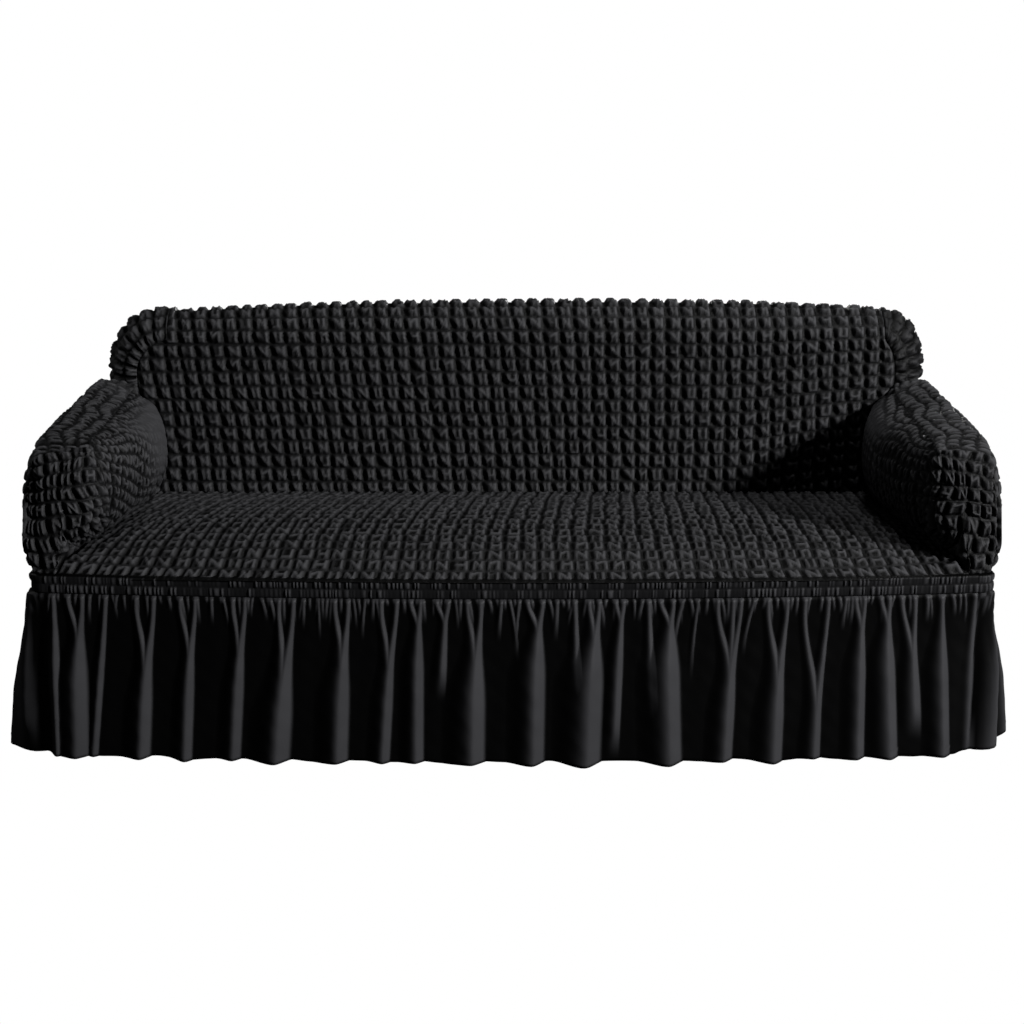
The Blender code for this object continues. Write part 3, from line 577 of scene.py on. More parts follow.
def arm_inside_panel(side):
    rows = [arm_inside_row(side, t, ARM_LENGTH_STEPS) for t in np.linspace(0, 1, ARM_HEIGHT_STEPS + 1)]
    grid = np.array(rows)
    grid[-1, -1] = back_base_line(side)[0]
    return grid


def arm_over_line(side, start, foot_run, along_arm, turn):
    """Across the top of an arm, over its knee and down its outside to the heading band."""
    foot = heading_line("right", np.array([foot_run]))[0]
    out = points(*plan_normal(foot_run), 0.0)
    start = mirrored(side, start)
    knee = np.array([arm_value("knee_x", start[1]), start[1], arm_value("knee_z", start[1])])
    if not along_arm:
        beside = start + NECK_KNEE * np.array([np.cos(turn), np.sin(turn), -0.5])
        beside[0] = max(beside[0], knee[0]) if turn < 0 else beside[0]
        knee = between(knee, beside, smoothstep(-np.pi / 2, NECK_DROP_TURN, turn))
    crown = ARM_TOP_CROWN if along_arm else 0.0
    flank = foot + out * ARM_SIDE_PUFF + np.array([0.0, ARM_SIDE_TWIST * (knee[1] - foot[1]), 0.0])
    flank[2] = ARM_SIDE_Z
    through = np.array([
        start,
        between(start, knee, 0.5) + np.array([0.0, 0.0, crown]),
        knee,
        between(flank, knee, np.array(OUTER_SHOULDER)),
        flank,
        between(foot, flank, np.array(OUTER_TUCK)),
        foot,
    ])
    knots = run_along(through)
    smooth = smooth_steps(knots, through, np.linspace(0, knots[-1], ARM_OVER_FINE_STEPS))
    share = np.linspace(0, 1, len(smooth))[:, None]
    straight = between(start, foot, share) + out * REAR_PUFF * np.sin(np.pi * share)
    line = between(smooth, straight, smoothstep(0, np.pi / 2, turn))
    return mirrored(side, at_shares(line, np.linspace(0, 1, ARM_OVER_STEPS + 1)))


def arm_outside_panel(side):
    """Over the arm and down its outside: rows from the top seam to the band, front to back."""
    top = np.concatenate([arm_inside_panel(side)[-1], back_base_line(side)[1:]])
    foot_runs = np.concatenate([np.linspace(CORNER_RUN, NECK_RUN, ARM_LENGTH_STEPS + 1),
                                np.linspace(NECK_RUN, REAR_SEAM_RUN, ROLL_STEPS + 1)[1:]])
    turns = np.concatenate([np.full(ARM_LENGTH_STEPS, -np.pi / 2), ROLL_TURNS])
    columns = [arm_over_line(side, start, foot_run, k <= ARM_LENGTH_STEPS, turn)
               for k, (start, foot_run, turn) in enumerate(zip(top, foot_runs, turns))]
    return np.array(columns).transpose(1, 0, 2)


# ---------------------------------------------------------------- guide sheets: the seat

def seat_end_line(side):
    """End of the seat: along the arm's crease to its tip, then down the front roll to the band."""
    rear = arm_inside_row(side, 0.0, ARM_LENGTH_STEPS)[::-1]
    tip = np.array([[SIDES[side] * arm_value("crease_x", ARM_TIP_Y), ARM_TIP_Y, SEAT_Z]])
    band = heading_line(side, np.array([SEAT_END_X]))[0]
    forward = np.linspace(0, 1, FRONT_ROLL_STEPS + 1)[1:]
    drop = forward**2
    roll = points(between(tip[0, 0], band[0], drop),
                  between(tip[0, 1], band[1], forward),
                  between(SEAT_Z, BAND_TOP_Z, drop))
    return np.concatenate([rear, tip, roll])


def crown_height(depth_share):
    """Height of the seat's middle above the band's top edge."""
    table = np.array(SEAT_CROWN)
    return smooth_steps(table[:, 0], table[:, 1], depth_share)


def seat_panel():
    """Rows from the crease with the back, forwards and over the front roll to the band."""
    left = seat_end_line("left")
    right = seat_end_line("right")
    u = np.linspace(0, 1, COLUMNS + 1)
    crowned = 1 - np.abs(2 * u - 1) ** CROWN_SIDE_POWER
    rear = points(between(left[0, 0], right[0, 0], u), left[0, 1], SEAT_Z)
    band = heading_line("right", between(-SEAT_END_X, SEAT_END_X, u))
    rows = []
    for a, b in zip(left, right):
        row = between(a, b, u[:, None])
        depth_share = (a[1] - band[0, 1]) / (CREASE_Y - band[0, 1])
        row[:, 1] += (band[:, 1] - band[0, 1]) * (1 - depth_share)
        middle_z = BAND_TOP_Z + crown_height(depth_share)
        row[:, 2] = between(row[:, 2], middle_z, crowned)
        rows.append(row)
    rows[0] = rear
    rows[-1] = band
    return np.array(rows)


# ---------------------------------------------------------------- guide sheets: back panels

def back_side_line(side, turn_end):
    """Side of a back panel, upwards: the arm's junction and then the round end's rim."""
    if turn_end < 0:
        lower = arm_inside_panel(side)[:, -1]
    else:
        lower = arm_outside_panel(side)[::-1, -1]
    return np.concatenate([lower, back_end(side, END_PLACES[1:], turn_end)])


def top_roll(turn):
    x = np.linspace(-top_start_x("left"), top_start_x("right"), COLUMNS + 1)
    return roll_section(x, top_arch(x), 0.0, -1.0, turn)


def inside_back_panel():
    """Rows from the crease up the inside face, and on over the top roll."""
    left = back_side_line("left", -np.pi / 2)
    right = back_side_line("right", -np.pi / 2)
    face = fill(left, right, seat_panel()[0], top_roll(-np.pi / 2))
    over = np.array([top_roll(turn) for turn in ROLL_TURNS[1:]])
    over[:, 0] = back_end("left", 1.0, ROLL_TURNS[1:])
    over[:, -1] = back_end("right", 1.0, ROLL_TURNS[1:])
    return np.concatenate([face, over])


def outside_back_panel():
    left = back_side_line("left", np.pi / 2)
    right = back_side_line("right", np.pi / 2)
    run = np.linspace(PLAN_LENGTH - REAR_SEAM_RUN, REAR_SEAM_RUN, COLUMNS + 1)
    place = plan_at(run)
    bottom = points(place[:, 0], place[:, 1], BAND_TOP_Z)
    return fill(left, right, bottom, inside_back_panel()[-1])


def back_end_panel(side):
    """Rows run across the round end, from the inside rim to the outside rim."""
    return np.array([back_end(side, t, ROLL_TURNS) for t in END_PLACES])


# ---------------------------------------------------------------- guide sheets: arm fronts

def arm_front_panel(side):
    """Rings from the edge in to the middle of the pillow-shaped front, the last one a point.

    Seen from the front the points of the seat's roll lie close together, so inner rings spread them."""
    outer = arm_outside_panel(side)[:, 0]
    sill = heading_line(side, np.linspace(CORNER_RUN, SEAT_END_X, BAND_SILL_STEPS + 1))[1:]
    up_roll = seat_end_line(side)[-2:-FRONT_ROLL_STEPS - 2:-1]
    inner = arm_inside_panel(side)[:-1, 0]
    loop = np.concatenate([outer, sill, up_roll, inner, outer[:1]])
    middle = np.array([SIDES[side] * ARM_FRONT_MIDDLE[0], 0.0, ARM_FRONT_MIDDLE[1]])
    roll = np.arange(-FRONT_ROLL_STEPS, 0) - ARM_HEIGHT_STEPS - 1
    share = np.arange(1, FRONT_ROLL_STEPS + 1)[:, None] / (FRONT_ROLL_STEPS + 1)
    spread = loop.copy()
    spread[roll] = between(loop[roll[0] - 1], loop[roll[-1] + 1], share)
    rings = []
    for reach in ARM_FRONT_RINGS:
        ring = between(middle, between(spread, loop, reach**4), reach)
        plane_y = ARM_FRONT_FOOT_Y + ARM_FRONT_LEAN * (ring[:, 2] - BAND_TOP_Z)
        puffed_y = plane_y - ARM_FRONT_PUFF * (1 - reach**2)
        ring[:, 1] = puffed_y + (loop[:, 1] - plane_y) * reach**ARM_FRONT_ROUNDING
        rings.append(ring)
    middle[1] = rings[-1][:, 1].mean()
    rings.append(np.tile(middle, (len(loop), 1)))
    return np.array(rings)


def guide_sheets():
    """All body panels with the way each one faces: +1 where across x up looks outwards."""
    sheets = {
        "inside_back": (inside_back_panel(), 1.0),
        "outside_back": (outside_back_panel()[:, ::-1], 1.0),
        "seat": (seat_panel()[::-1], 1.0),
    }
    for side, sign in SIDES.items():
        sheets[f"back_end_{side}"] = (back_end_panel(side), sign)
        sheets[f"arm_inside_{side}"] = (arm_inside_panel(side), -sign)
        sheets[f"arm_outside_{side}"] = (arm_outside_panel(side), -sign)
        sheets[f"arm_front_{side}"] = (arm_front_panel(side), -sign)
    return sheets


# ---------------------------------------------------------------- from guide sheets to fine sheets

def grid_normals(grid, facing):
    across = np.gradient(grid, axis=1)
    up = np.gradient(grid, axis=0)
    normal = np.cross(across, up) * facing
    return normal / (np.linalg.norm(normal, axis=-1, keepdims=True) + 1e-12)


def weld_key(vert):
    return tuple(np.round(vert, 5) + 0.0)


def shared_normals(sheets):
    """One normal for each place, so that neighbours draw in along the same lines at a seam."""
    sums = {}
    for grid, facing in sheets.values():
        diagonal = grid[1:, 1:] - grid[:-1, :-1]
        other = grid[1:, :-1] - grid[:-1, 1:]
        cell = np.cross(diagonal, other) * facing
        for i, j in np.ndindex(cell.shape[:2]):
            for corner in (grid[i, j], grid[i, j + 1], grid[i + 1, j], grid[i + 1, j + 1]):
                key = weld_key(corner)
                sums[key] = sums.get(key, 0.0) + cell[i, j]
    return sums


def front_edge_rounding(sheets, grid):
    """The stuffed arms round off the upper edge of their fronts."""
    depth = 0.0
    for side, most in FRONT_EDGE_ROUNDING.items():
        rim = sheets[f"arm_front_{side}"][0][0]
        rim = rim[rim[:, 2] > FRONT_EDGE_FROM_Z]
        away = np.linalg.norm(grid[:, :, None] - rim, axis=-1).min(axis=-1)
        depth = depth + most * np.exp(-(away / FRONT_EDGE_SPREAD) ** 2)
    return depth[..., None]


def core_sheets():
    """The guide sheets drawn in to the level of the seams, on which the bubbles stand."""
    sheets = guide_sheets()
    normals = shared_normals(sheets)
    cores = {}
    for name, (grid, facing) in sheets.items():
        normal = np.array([normals[weld_key(v)] for v in grid.reshape(-1, 3)]).reshape(grid.shape)
        normal[np.isclose(grid[..., 2], BAND_TOP_Z), 2] = 0.0
        normal /= np.linalg.norm(normal, axis=-1, keepdims=True)
        rounded = normal * [0.0, 1.0, 1.0] * front_edge_rounding(sheets, grid)
        cores[name] = (grid - normal * CORE_DEPTH - rounded, facing)
    return cores


def mean_run(grid):
    """Average distance run up the sheet, row by row."""
    return np.concatenate([[0], np.cumsum(np.linalg.norm(np.diff(grid, axis=0), axis=-1).mean(axis=1))])


def read_rows(grid, rows):
    run = mean_run(grid)
    flat = grid.reshape(len(grid), -1)
    at = np.linspace(0, run[-1], rows) if np.isscalar(rows) else rows
    return smooth_steps(run, flat, at).reshape(len(at), *grid.shape[1:])


def refine(grid, rows, cols):
    """The same sheet read off smoothly. Rows and columns are counts, or the runs to read at."""
    grid = read_rows(grid, rows)
    return read_rows(grid.transpose(1, 0, 2), cols).transpose(1, 0, 2)


def runs(grid):
    """Distances across and up the sheet at each of its points."""
    across = np.linalg.norm(np.diff(grid, axis=1), axis=-1)
    up = np.linalg.norm(np.diff(grid, axis=0), axis=-1)
    return (np.pad(np.cumsum(across, axis=1), ((0, 0), (1, 0))),
            np.pad(np.cumsum(up, axis=0), ((1, 0), (0, 0))))


def evened(grid):
    """The same sheet with each of its columns read off at even steps of its own length."""
    steps = np.linspace(0, 1, 2 * len(grid))
    columns = []
    for line in grid.transpose(1, 0, 2):
        run = run_along(line)
        columns.append(smooth_steps(run, line, steps * run[-1]))
    return np.array(columns).transpose(1, 0, 2)


def eased(grid, passes):
    """A grid with its bends from row to row made softer, its first and last rows kept."""
    soft = grid.copy()
    for _ in range(passes):
        soft[1:-1] = 0.25 * soft[:-2] + 0.5 * soft[1:-1] + 0.25 * soft[2:]
    return soft


def climb(grid):
    """Distance run up the sheet without what its columns drift sideways."""
    step = np.linalg.norm(np.diff(grid[..., 1:], axis=0), axis=-1)
    return np.pad(np.cumsum(step, axis=0), ((1, 0), (0, 0)))


def middle_up(up):
    """The run up the middle column, given to every column of its row."""
    return up[:, up.shape[1] // 2][:, None] * np.ones_like(up)


def edge_distance(grid):
    """Distance from the nearest edge of the sheet."""
    across, up = runs(grid)
    return np.minimum(np.minimum(across, across[:, -1:] - across), np.minimum(up, up[-1:] - up))


def rim_pad(closed):
    return ((1, 1), (0, 0)) if closed else ((1, 1), (1, 1))


def tucked(grid, normal, closed):
    """The sheet with its seam allowance turned in all round."""
    pad = (*rim_pad(closed), (0, 0))
    wide = np.pad(grid, pad, mode="edge")
    inwards = np.pad(normal, pad, mode="edge") * TUCK
    inside = np.zeros(wide.shape[:2], bool)
    inside[1:-1, :] = True
    if not closed:
        inside[:, 0] = False
        inside[:, -1] = False
    wide[~inside] -= inwards[~inside]
    return wide


# ---------------------------------------------------------------- puckers and wrinkles

def soft_noise(rng, x, y, size):
    """Smooth uneven waves of about the given size, between -1 and 1."""
    total = np.zeros(np.broadcast(x, y).shape)
    for _ in range(6):
        angle = rng.uniform(0, np.pi)
        wave = size * rng.uniform(0.7, 1.5)
        total += np.sin(2 * np.pi * (x * np.cos(angle) + y * np.sin(angle)) / wave + rng.uniform(0, 6.28))
    return total / 3.5


def to_segment(a, b, start_a, start_b, end_a, end_b):
    """Distance of (a, b) from a straight line between two places."""
    da = end_a - start_a
    db = end_b - start_b
    along = np.clip(((a - start_a) * da + (b - start_b) * db) / (da * da + db * db + 1e-9), 0, 1)
    return np.hypot(a - start_a - along * da, b - start_b - along * db)


def creases(a, b, draw, first_crease):
    """How near each place of a bubble is to one of its creases, 1 on a crest.

    A rim stands at the right and a post at the left. The bar between them is drawn by lot, so that the
    three look like a letter N, H or U."""
    post_a = between(first_crease, first_crease + 0.12, draw[2])
    rim_a = between(0.80, 0.87, draw[3])
    foot_b = between(0.10, 0.20, draw[4])
    head_b = between(0.80, 0.90, draw[5])
    rim = to_segment(a, b, rim_a + 0.06 * (draw[6] - 0.5), foot_b, rim_a, head_b)
    post = to_segment(a, b, post_a + 0.16 * (draw[7] - 0.5), foot_b, post_a, head_b)
    kind = draw[8]
    bar_start_b = np.where(kind < 0.50, head_b, between(0.40, 0.62, draw[9]))
    bar_start_b = np.where(kind > 0.86, foot_b, bar_start_b)
    bar_end_b = np.where(kind < 0.50, foot_b, bar_start_b)
    bar_end_b = np.where((kind > 0.70) & (kind <= 0.86), head_b, bar_end_b)
    bar = to_segment(a, b, post_a, bar_start_b, rim_a, bar_end_b)
    width = between(0.09, 0.12, draw[10])
    return np.maximum.reduce([
        np.exp(-(rim / width) ** 2),
        np.where(draw[11] < 0.80, 0.90, 0.45) * np.exp(-(post / width) ** 2),
        np.where(draw[12] < 0.85, 1.0, 0.40) * np.exp(-(bar / width) ** 2),
    ])


def wandering(kind, x, y, across, up):
    """Bubbles counted across and up, shifted a little from place to place."""
    rng = np.random.default_rng(WANDER_SEED[kind])
    (across_most, across_size), (up_most, up_size) = WANDER[kind]
    across = across + across_most * soft_noise(rng, x, y, across_size)
    return across, up + up_most * soft_noise(rng, x, y, up_size)


def bubbles(across, up, seed, gap=0.22, crumple=1.0, painted_row_light=PAINTED_ROW_LIGHT, first_crease=0.36):
    """Height of puckered cloth, and its share of painted light: across and up are counted in bubbles.

    Each bubble is a pillow between two flat elastic rows, with a deep gap on its left that widens
    downwards. Two or three creases stand up on it, like a letter N, H or U, with hollows between.
    Numbers without a name here and in creases are shares of a bubble's width or height."""
    rng = np.random.default_rng(seed)
    row = np.floor(up).astype(int)
    row -= row.min()
    rows = row.max() + 2
    column_shift = rng.uniform(-0.09, 0.09, rows)
    across = across + column_shift[row] + 0.07 * np.sin(across * 2.3 + row * 1.7)
    column = np.floor(across).astype(int)
    column -= column.min()
    a = across - np.floor(across)
    b = up - np.floor(up)
    draw = np.moveaxis(rng.uniform(0, 1, (rows, column.max() + 2, 13))[row, column], -1, 0)
    gap_foot = gap * (1.0 + 1.3 * draw[0])
    gap_top = gap * (0.4 + 0.5 * draw[1])
    gap_edge = between(gap_foot, gap_top, smoothstep(0.05, 0.95, b))
    left = smoothstep(gap_edge * 0.7, gap_edge + 0.09, a)
    right = 1 - smoothstep(0.93, 1.0, a)
    low = smoothstep(0.05, 0.20, b)
    high = 1 - smoothstep(0.82, 0.96, b)
    body = left * right * low * high
    dome = 1 - 0.25 * (2 * a - 1.15) ** 2 - 0.30 * (2 * b - 1) ** 2
    size = between(0.85, 1.08, draw[1])
    ridges = creases(a, b, draw, first_crease)
    hollow = ROW_HOLLOW * (np.exp(-(b / 0.05) ** 2) + np.exp(-((1 - b) / 0.05) ** 2))
    pillow = PUFF_HEIGHT * dome * size * (1 - CRUMPLE_SHARE * crumple * (1 - ridges))
    trench = GAP_DEPTH * (1 - left * right) * low * high
    # Painted light: painted shade in the gaps, pockets and elastic rows, painted highlight on the creases
    on_bubble = between(PAINTED_POCKET_LIGHT, 1.0, between(1.0, ridges, crumple))
    painted_light = between(painted_row_light * between(0.6, 1.0, left * right), left * right * on_bubble, low * high)
    return body * pillow - hollow - trench, painted_light


# ---------------------------------------------------------------- making the meshes

def sheet_object(name, grid, material, closed=False, flip=False, painted_light=None):
    rows, cols = grid.shape[:2]
    i, j = np.meshgrid(np.arange(rows - 1), np.arange(cols if closed else cols - 1), indexing="ij")
    k = (j + 1) % cols
    corners = np.stack([i * cols + j, i * cols + k, (i + 1) * cols + k, (i + 1) * cols + j], axis=-1)
    corners = corners.reshape(-1, 4)
    if flip:
        corners = corners[:, ::-1]
    mesh = bpy.data.meshes.new(name)
    mesh.vertices.add(rows * cols)
    mesh.vertices.foreach_set("co", (grid.reshape(-1, 3) - MOUNT).astype(np.float32).ravel())
    mesh.loops.add(corners.size)
    mesh.loops.foreach_set("vertex_index", corners.astype(np.int32).ravel())
    mesh.polygons.add(len(corners))
    mesh.polygons.foreach_set("loop_start", np.arange(0, corners.size, 4, dtype=np.int32))
    mesh.update(calc_edges=True)
    mesh.validate()
    mesh.shade_smooth()
    mesh.materials.append(material)
    # Share of painted light for the cloth's colour: low is painted shade, high is painted highlight
    if painted_light is not None:
        layer = mesh.attributes.new("painted_light", "FLOAT", "POINT")
        layer.data.foreach_set("value", painted_light.astype(np.float32).ravel())
    obj = bpy.data.objects.new(name, mesh)
    bpy.context.scene.collection.objects.link(obj)
    return obj


def declare(obj, node):
    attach(obj, "root")
    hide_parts(node)


# ---------------------------------------------------------------- materials

def linear(hex_colour):
    """Linear colour from an sRGB hex value."""
    channels = [int(hex_colour[k:k + 2], 16) / 255 for k in (1, 3, 5)]
    return tuple(c / 12.92 if c <= 0.04045 else ((c + 0.055) / 1.055) ** 2.4 for c in channels) + (1.0,)


def add_node(tree, kind, settings=(), links=()):
    """A node with its settings, and with links from other nodes' outputs to its inputs."""
    node = tree.nodes.new(kind)
    for name, value in dict(settings).items():
        if name in node.inputs:
            node.inputs[name].default_value = value
        else:
            setattr(node, name, value)
    for name, output in dict(links).items():
        tree.links.new(output, node.inputs[name])
    return node


def dyed_colour(tree, place, patch_scale, painted_shade_colour, painted_lit):
    """Colour of the dyed black cloth with painted light: painted shade in its gathers, painted highlight
    on its crests, a little uneven.

    It comes with the share of painted light."""
    painted_light = add_node(tree, "ShaderNodeAttribute", {"attribute_name": "painted_light"})
    patches = add_node(tree, "ShaderNodeTexNoise",
                       {"Scale": patch_scale, "Detail": 3.0, "Roughness": 0.6},
                       {"Vector": place.outputs["Object"]})
    uneven = add_node(tree, "ShaderNodeMapRange",
                      {"From Min": 0.3, "From Max": 0.7, "To Min": 0.82, "To Max": 1.0},
                      {"Value": patches.outputs["Fac"]})
    # Share of painted light, made a little uneven by the wide patches of dye
    share = add_node(tree, "ShaderNodeMath", {"operation": "MULTIPLY"},
                     {0: painted_light.outputs["Fac"], 1: uneven.outputs["Result"]})
    dye_and_painted_light = add_node(tree, "ShaderNodeValToRGB", links={"Fac": share.outputs["Value"]})
    dye_and_painted_light.color_ramp.elements[0].color = linear(painted_shade_colour)
    dye_and_painted_light.color_ramp.elements[1].color = linear(painted_lit)
    return dye_and_painted_light.outputs["Color"], share.outputs["Value"]


def dyed_cloth(name, painted_highlight_colour, specular, patch_mm, roughness, reliefs):
    """Dyed polyester. Its roughness goes from the gathers to the crests, and its colour carries painted
    light, from painted shade in the gathers to painted highlight on the crests.

    Each relief is a size in mm, the noise's detail and roughness, and the bump's strength and height."""
    material = bpy.data.materials.new(name)
    material.use_nodes = True
    tree = material.node_tree
    shader = tree.nodes["Principled BSDF"]
    shader.inputs["Metallic"].default_value = 0.0
    shader.inputs["IOR"].default_value = POLYESTER_IOR
    shader.inputs["Specular IOR Level"].default_value = specular
    place = add_node(tree, "ShaderNodeTexCoord")
    colour, painted_lit = dyed_colour(tree, place, MM_PER_METRE / patch_mm, PAINTED_SHADE_BLACK, painted_highlight_colour)
    tree.links.new(colour, shader.inputs["Base Color"])
    rough = add_node(tree, "ShaderNodeMapRange", {"To Min": roughness[0], "To Max": roughness[1]},
                     {"Value": painted_lit})
    tree.links.new(rough.outputs["Result"], shader.inputs["Roughness"])
    below = {}
    for size_mm, detail, unevenness, strength, height in reliefs:
        grain = add_node(tree, "ShaderNodeTexNoise",
                         {"Scale": MM_PER_METRE / size_mm, "Detail": detail, "Roughness": unevenness},
                         {"Vector": place.outputs["Object"]})
        bump = add_node(tree, "ShaderNodeBump", {"Strength": strength, "Distance": height},
                        {"Height": grain.outputs["Fac"], **below})
        below = {"Normal": bump.outputs["Normal"]}
    tree.links.new(bump.outputs["Normal"], shader.inputs["Normal"])
    return material


def seersucker_jersey():
    """Polyester and elastane seersucker, knitted and piece-dyed black.

    It is matt: the crinkled knit scatters light. Its colour is painted light on the black: soft grey
    painted highlight on its ridges, and deep black painted shade in the gathered places between them,
    where the knit is drawn together."""
    knit = (THREAD_MM, 1.0, 0.5, 0.30, 0.0004)
    crinkle = (CRINKLE_MM, 3.0, 0.65, 0.60, 0.0020)
    return dyed_cloth("Polyester elastane seersucker, knitted and dyed", "#3b3b3d", 0.09,
                      SEERSUCKER_PATCH_MM, (0.52, 0.64), (knit, crinkle))


def plain_microfibre(name, roughness):
    """Brushed polyester microfibre in plain weave, dyed black.

    It is smooth and a little satiny: folds that turn to the light show a long soft grey gleam, partly
    real sheen and partly painted highlight, and the valleys between them are painted black shade."""
    weave = (THREAD_MM, 1.0, 0.5, 0.20, 0.0003)
    ripple = (RIPPLE_MM, 2.0, 0.5, 0.25, 0.0010)
    return dyed_cloth(name, "#323234", 0.06, MICROFIBRE_PATCH_MM, (0.42, roughness), (weave, ripple))


# ---------------------------------------------------------------- body panels

def fine_counts(grid, quads):
    across, up = runs(grid)
    return (int(up[-1].mean() / BUBBLE * quads) + 2, int(across[:, -1].mean() / BUBBLE * quads) + 2)


def finish_panel(kind, side, grid, facing, relief, material):
    """The bubbles stood on the sheet, fading out at the seams round it."""
    node = f"{kind}_{side}" if side else kind
    height, painted_light = relief
    reach, painted_seam_light = SEAM_FADE[kind]
    fade = smoothstep(0.0, reach, edge_distance(grid))
    normal = grid_normals(grid, facing)
    dressed = tucked(grid + normal * (height * fade)[..., None], normal, False)
    # Painted shade darkens the cloth toward its seams
    painted_light = np.pad(painted_light * between(painted_seam_light, 1.0, fade), rim_pad(False), mode="edge")
    obj = sheet_object(f"{node}_cloth", dressed, material, flip=facing < 0, painted_light=painted_light)
    declare(obj, node)


def dress_inside_back(core, material):
    """Rows are read closely up to where the roll turns out of sight, and coarsely from there."""
    grid, facing = core
    grid = evened(grid)
    quads = FINENESS["inside_back"]
    _, cols = fine_counts(grid, quads)
    whole = mean_run(grid)[-1]
    seen = whole - BACK_HALF_THICKNESS
    rows = np.concatenate([np.linspace(0, seen, int(seen / BUBBLE * quads), endpoint=False),
                           np.linspace(seen, whole, int(BACK_HALF_THICKNESS / BUBBLE * ROLL_FINENESS))])
    grid = eased(refine(grid, rows, cols), ROLL_EASING)
    up = climb(grid)
    x = grid[..., 0]
    risen = BACK_ROW_RISE * smoothstep(*BACK_RISE_FROM_X, x) * np.clip(1 - up / BACK_RISE_UP_TO, 0, 1)
    row_up = up - risen
    lean = BACK_COLUMN_LEAN * (1 - smoothstep(*BACK_LEAN_UP_TO_X, x)) * (BACK_LEAN_PIVOT - row_up)
    relief = bubbles((x - lean) / BUBBLE, row_up / BACK_ROW_PITCH + BACK_FIRST_ROW,
                     **PUCKERS["inside_back"])
    finish_panel("inside_back", "", grid, facing, relief, material)


def dress_outside_back(core, material):
    grid, facing = core
    grid = refine(evened(grid), *fine_counts(grid, FINENESS["outside_back"]))
    relief = bubbles(grid[..., 0] / BUBBLE, climb(grid) / BACK_ROW_PITCH, **PUCKERS["outside_back"])
    finish_panel("outside_back", "", grid, facing, relief, material)


def dress_seat(core, material):
    """Columns run from front to back and draw together there. Toward the back they turn to ribs."""
    grid, facing = core
    grid = refine(grid, *fine_counts(grid, FINENESS["seat"]))
    across, up = runs(grid)
    share = across / across[:, -1:]
    front_width = across[len(across) // 6, -1]
    middle = middle_up(up)
    column = (share * front_width - SEAT_LEAN * middle**2 / middle[-1:]) / BUBBLE
    height, painted_light = bubbles(column, middle / BUBBLE + SEAT_FIRST_ROW, **PUCKERS["seat"])
    shifted = column - SEAT_RIB_SHIFT
    beside = np.abs(2 * (shifted - np.floor(shifted)) - 1)
    ribbed = SEAT_RIBS * smoothstep(*SEAT_RIBS_FROM, up / up[-1:])
    rib_height = PUFF_HEIGHT * (SEAT_RIB_HEIGHT - SEAT_RIB_HEIGHT * beside**SEAT_RIB_SQUARENESS)
    # Painted highlight on the ribs' flanks
    painted_rib_light = SEAT_RIB_PAINTED_LIGHT * smoothstep(*SEAT_RIB_FLANK, 1 - beside)
    relief = (SEAT_RELIEF * between(height, np.maximum(height, rib_height), ribbed),
              between(painted_light, np.maximum(painted_light, painted_rib_light), ribbed))
    finish_panel("seat", "", grid, facing, relief, material)


def dress_back_end(side, core, material):
    """Rows fan out round the end of the back."""
    grid, facing = core
    grid = refine(grid, *fine_counts(grid, FINENESS["back_end"]))
    across, up = runs(grid)
    height, painted_light = bubbles(middle_up(up) / BUBBLE * SIDES[side], across / BUBBLE + BACK_END_FIRST_ROW,
                               **PUCKERS["back_end"])
    full = smoothstep(0.0, BACK_END_FULL_FROM, np.minimum(across, across[:, -1:] - across))
    full = full * (1 - smoothstep(*BACK_END_FLAT_FROM, up / up[-1:]))
    # Each end's painted light is scaled by its side
    relief = (height + BACK_END_FULLNESS * full, painted_light * BACK_END_PAINTED_LIGHT[side])
    finish_panel("back_end", side, grid, facing, relief, material)


def dress_arm_inside(side, core, material):
    """Rows run along the arm. High up and to the back the cloth is pulled nearly smooth."""
    grid, facing = core
    grid = refine(grid, *fine_counts(grid, FINENESS["arm_inside"]))
    across, up = runs(grid)
    up_share = up / up[-1:]
    rear = smoothstep(*ARM_PULL_BACK_FROM, across / across[:, -1:])
    high = smoothstep(*ARM_PULL_UP_FROM, up_share) * (1 - smoothstep(*ARM_PULL_UP_TO, up_share))
    pulled = rear * high * ARM_PULL[side]
    turned = ARM_ROW_TURN[side]
    along = across * np.cos(turned) - up * np.sin(turned)
    rising = up * np.cos(turned) + across * np.sin(turned)
    places = wandering("arm_inside", across, up, -SIDES[side] * along / ARM_BUBBLE, rising / ARM_ROW_PITCH)
    height, painted_light = bubbles(*places, **PUCKERS["arm_inside"])
    # Pulled cloth is painted lighter, with less painted shade
    relief = (ARM_INSIDE_RELIEF * height * (1 - ARM_PULL_FLATTENS * pulled),
              between(painted_light, PULLED_PAINTED_LIGHT, ARM_PULL_LIGHTENS * pulled))
    finish_panel("arm_inside", side, grid, facing, relief, material)


def dress_arm_outside(side, core, material):
    """Rows run along the arm and draw together at its neck."""
    grid, facing = core
    grid = refine(grid, *fine_counts(grid, FINENESS["arm_outside"]))
    across, up = runs(grid)
    share = up / up[-1:]
    rows = round(up[-1, up.shape[1] // 4] / BUBBLE * ARM_ROWS_MORE)
    neck = across[:, -1:] - across
    pulled = NECK_PULL * (1 - smoothstep(*NECK_PULL_REACH, np.abs(neck - NECK_FROM_REAR))) * (share < 0.5)
    places = wandering("arm_outside", across, up, -SIDES[side] * across / ARM_BUBBLE, share * rows)
    height, painted_light = bubbles(*places, **PUCKERS["arm_outside"])
    # At the neck the pulled cloth is painted lighter, with less painted shade
    relief = (ARM_ROW_RELIEF * height * (1 - NECK_PULL_FLATTENS * pulled),
              between(painted_light, PULLED_PAINTED_LIGHT, pulled))
    finish_panel("arm_outside", side, grid, facing, relief, material)


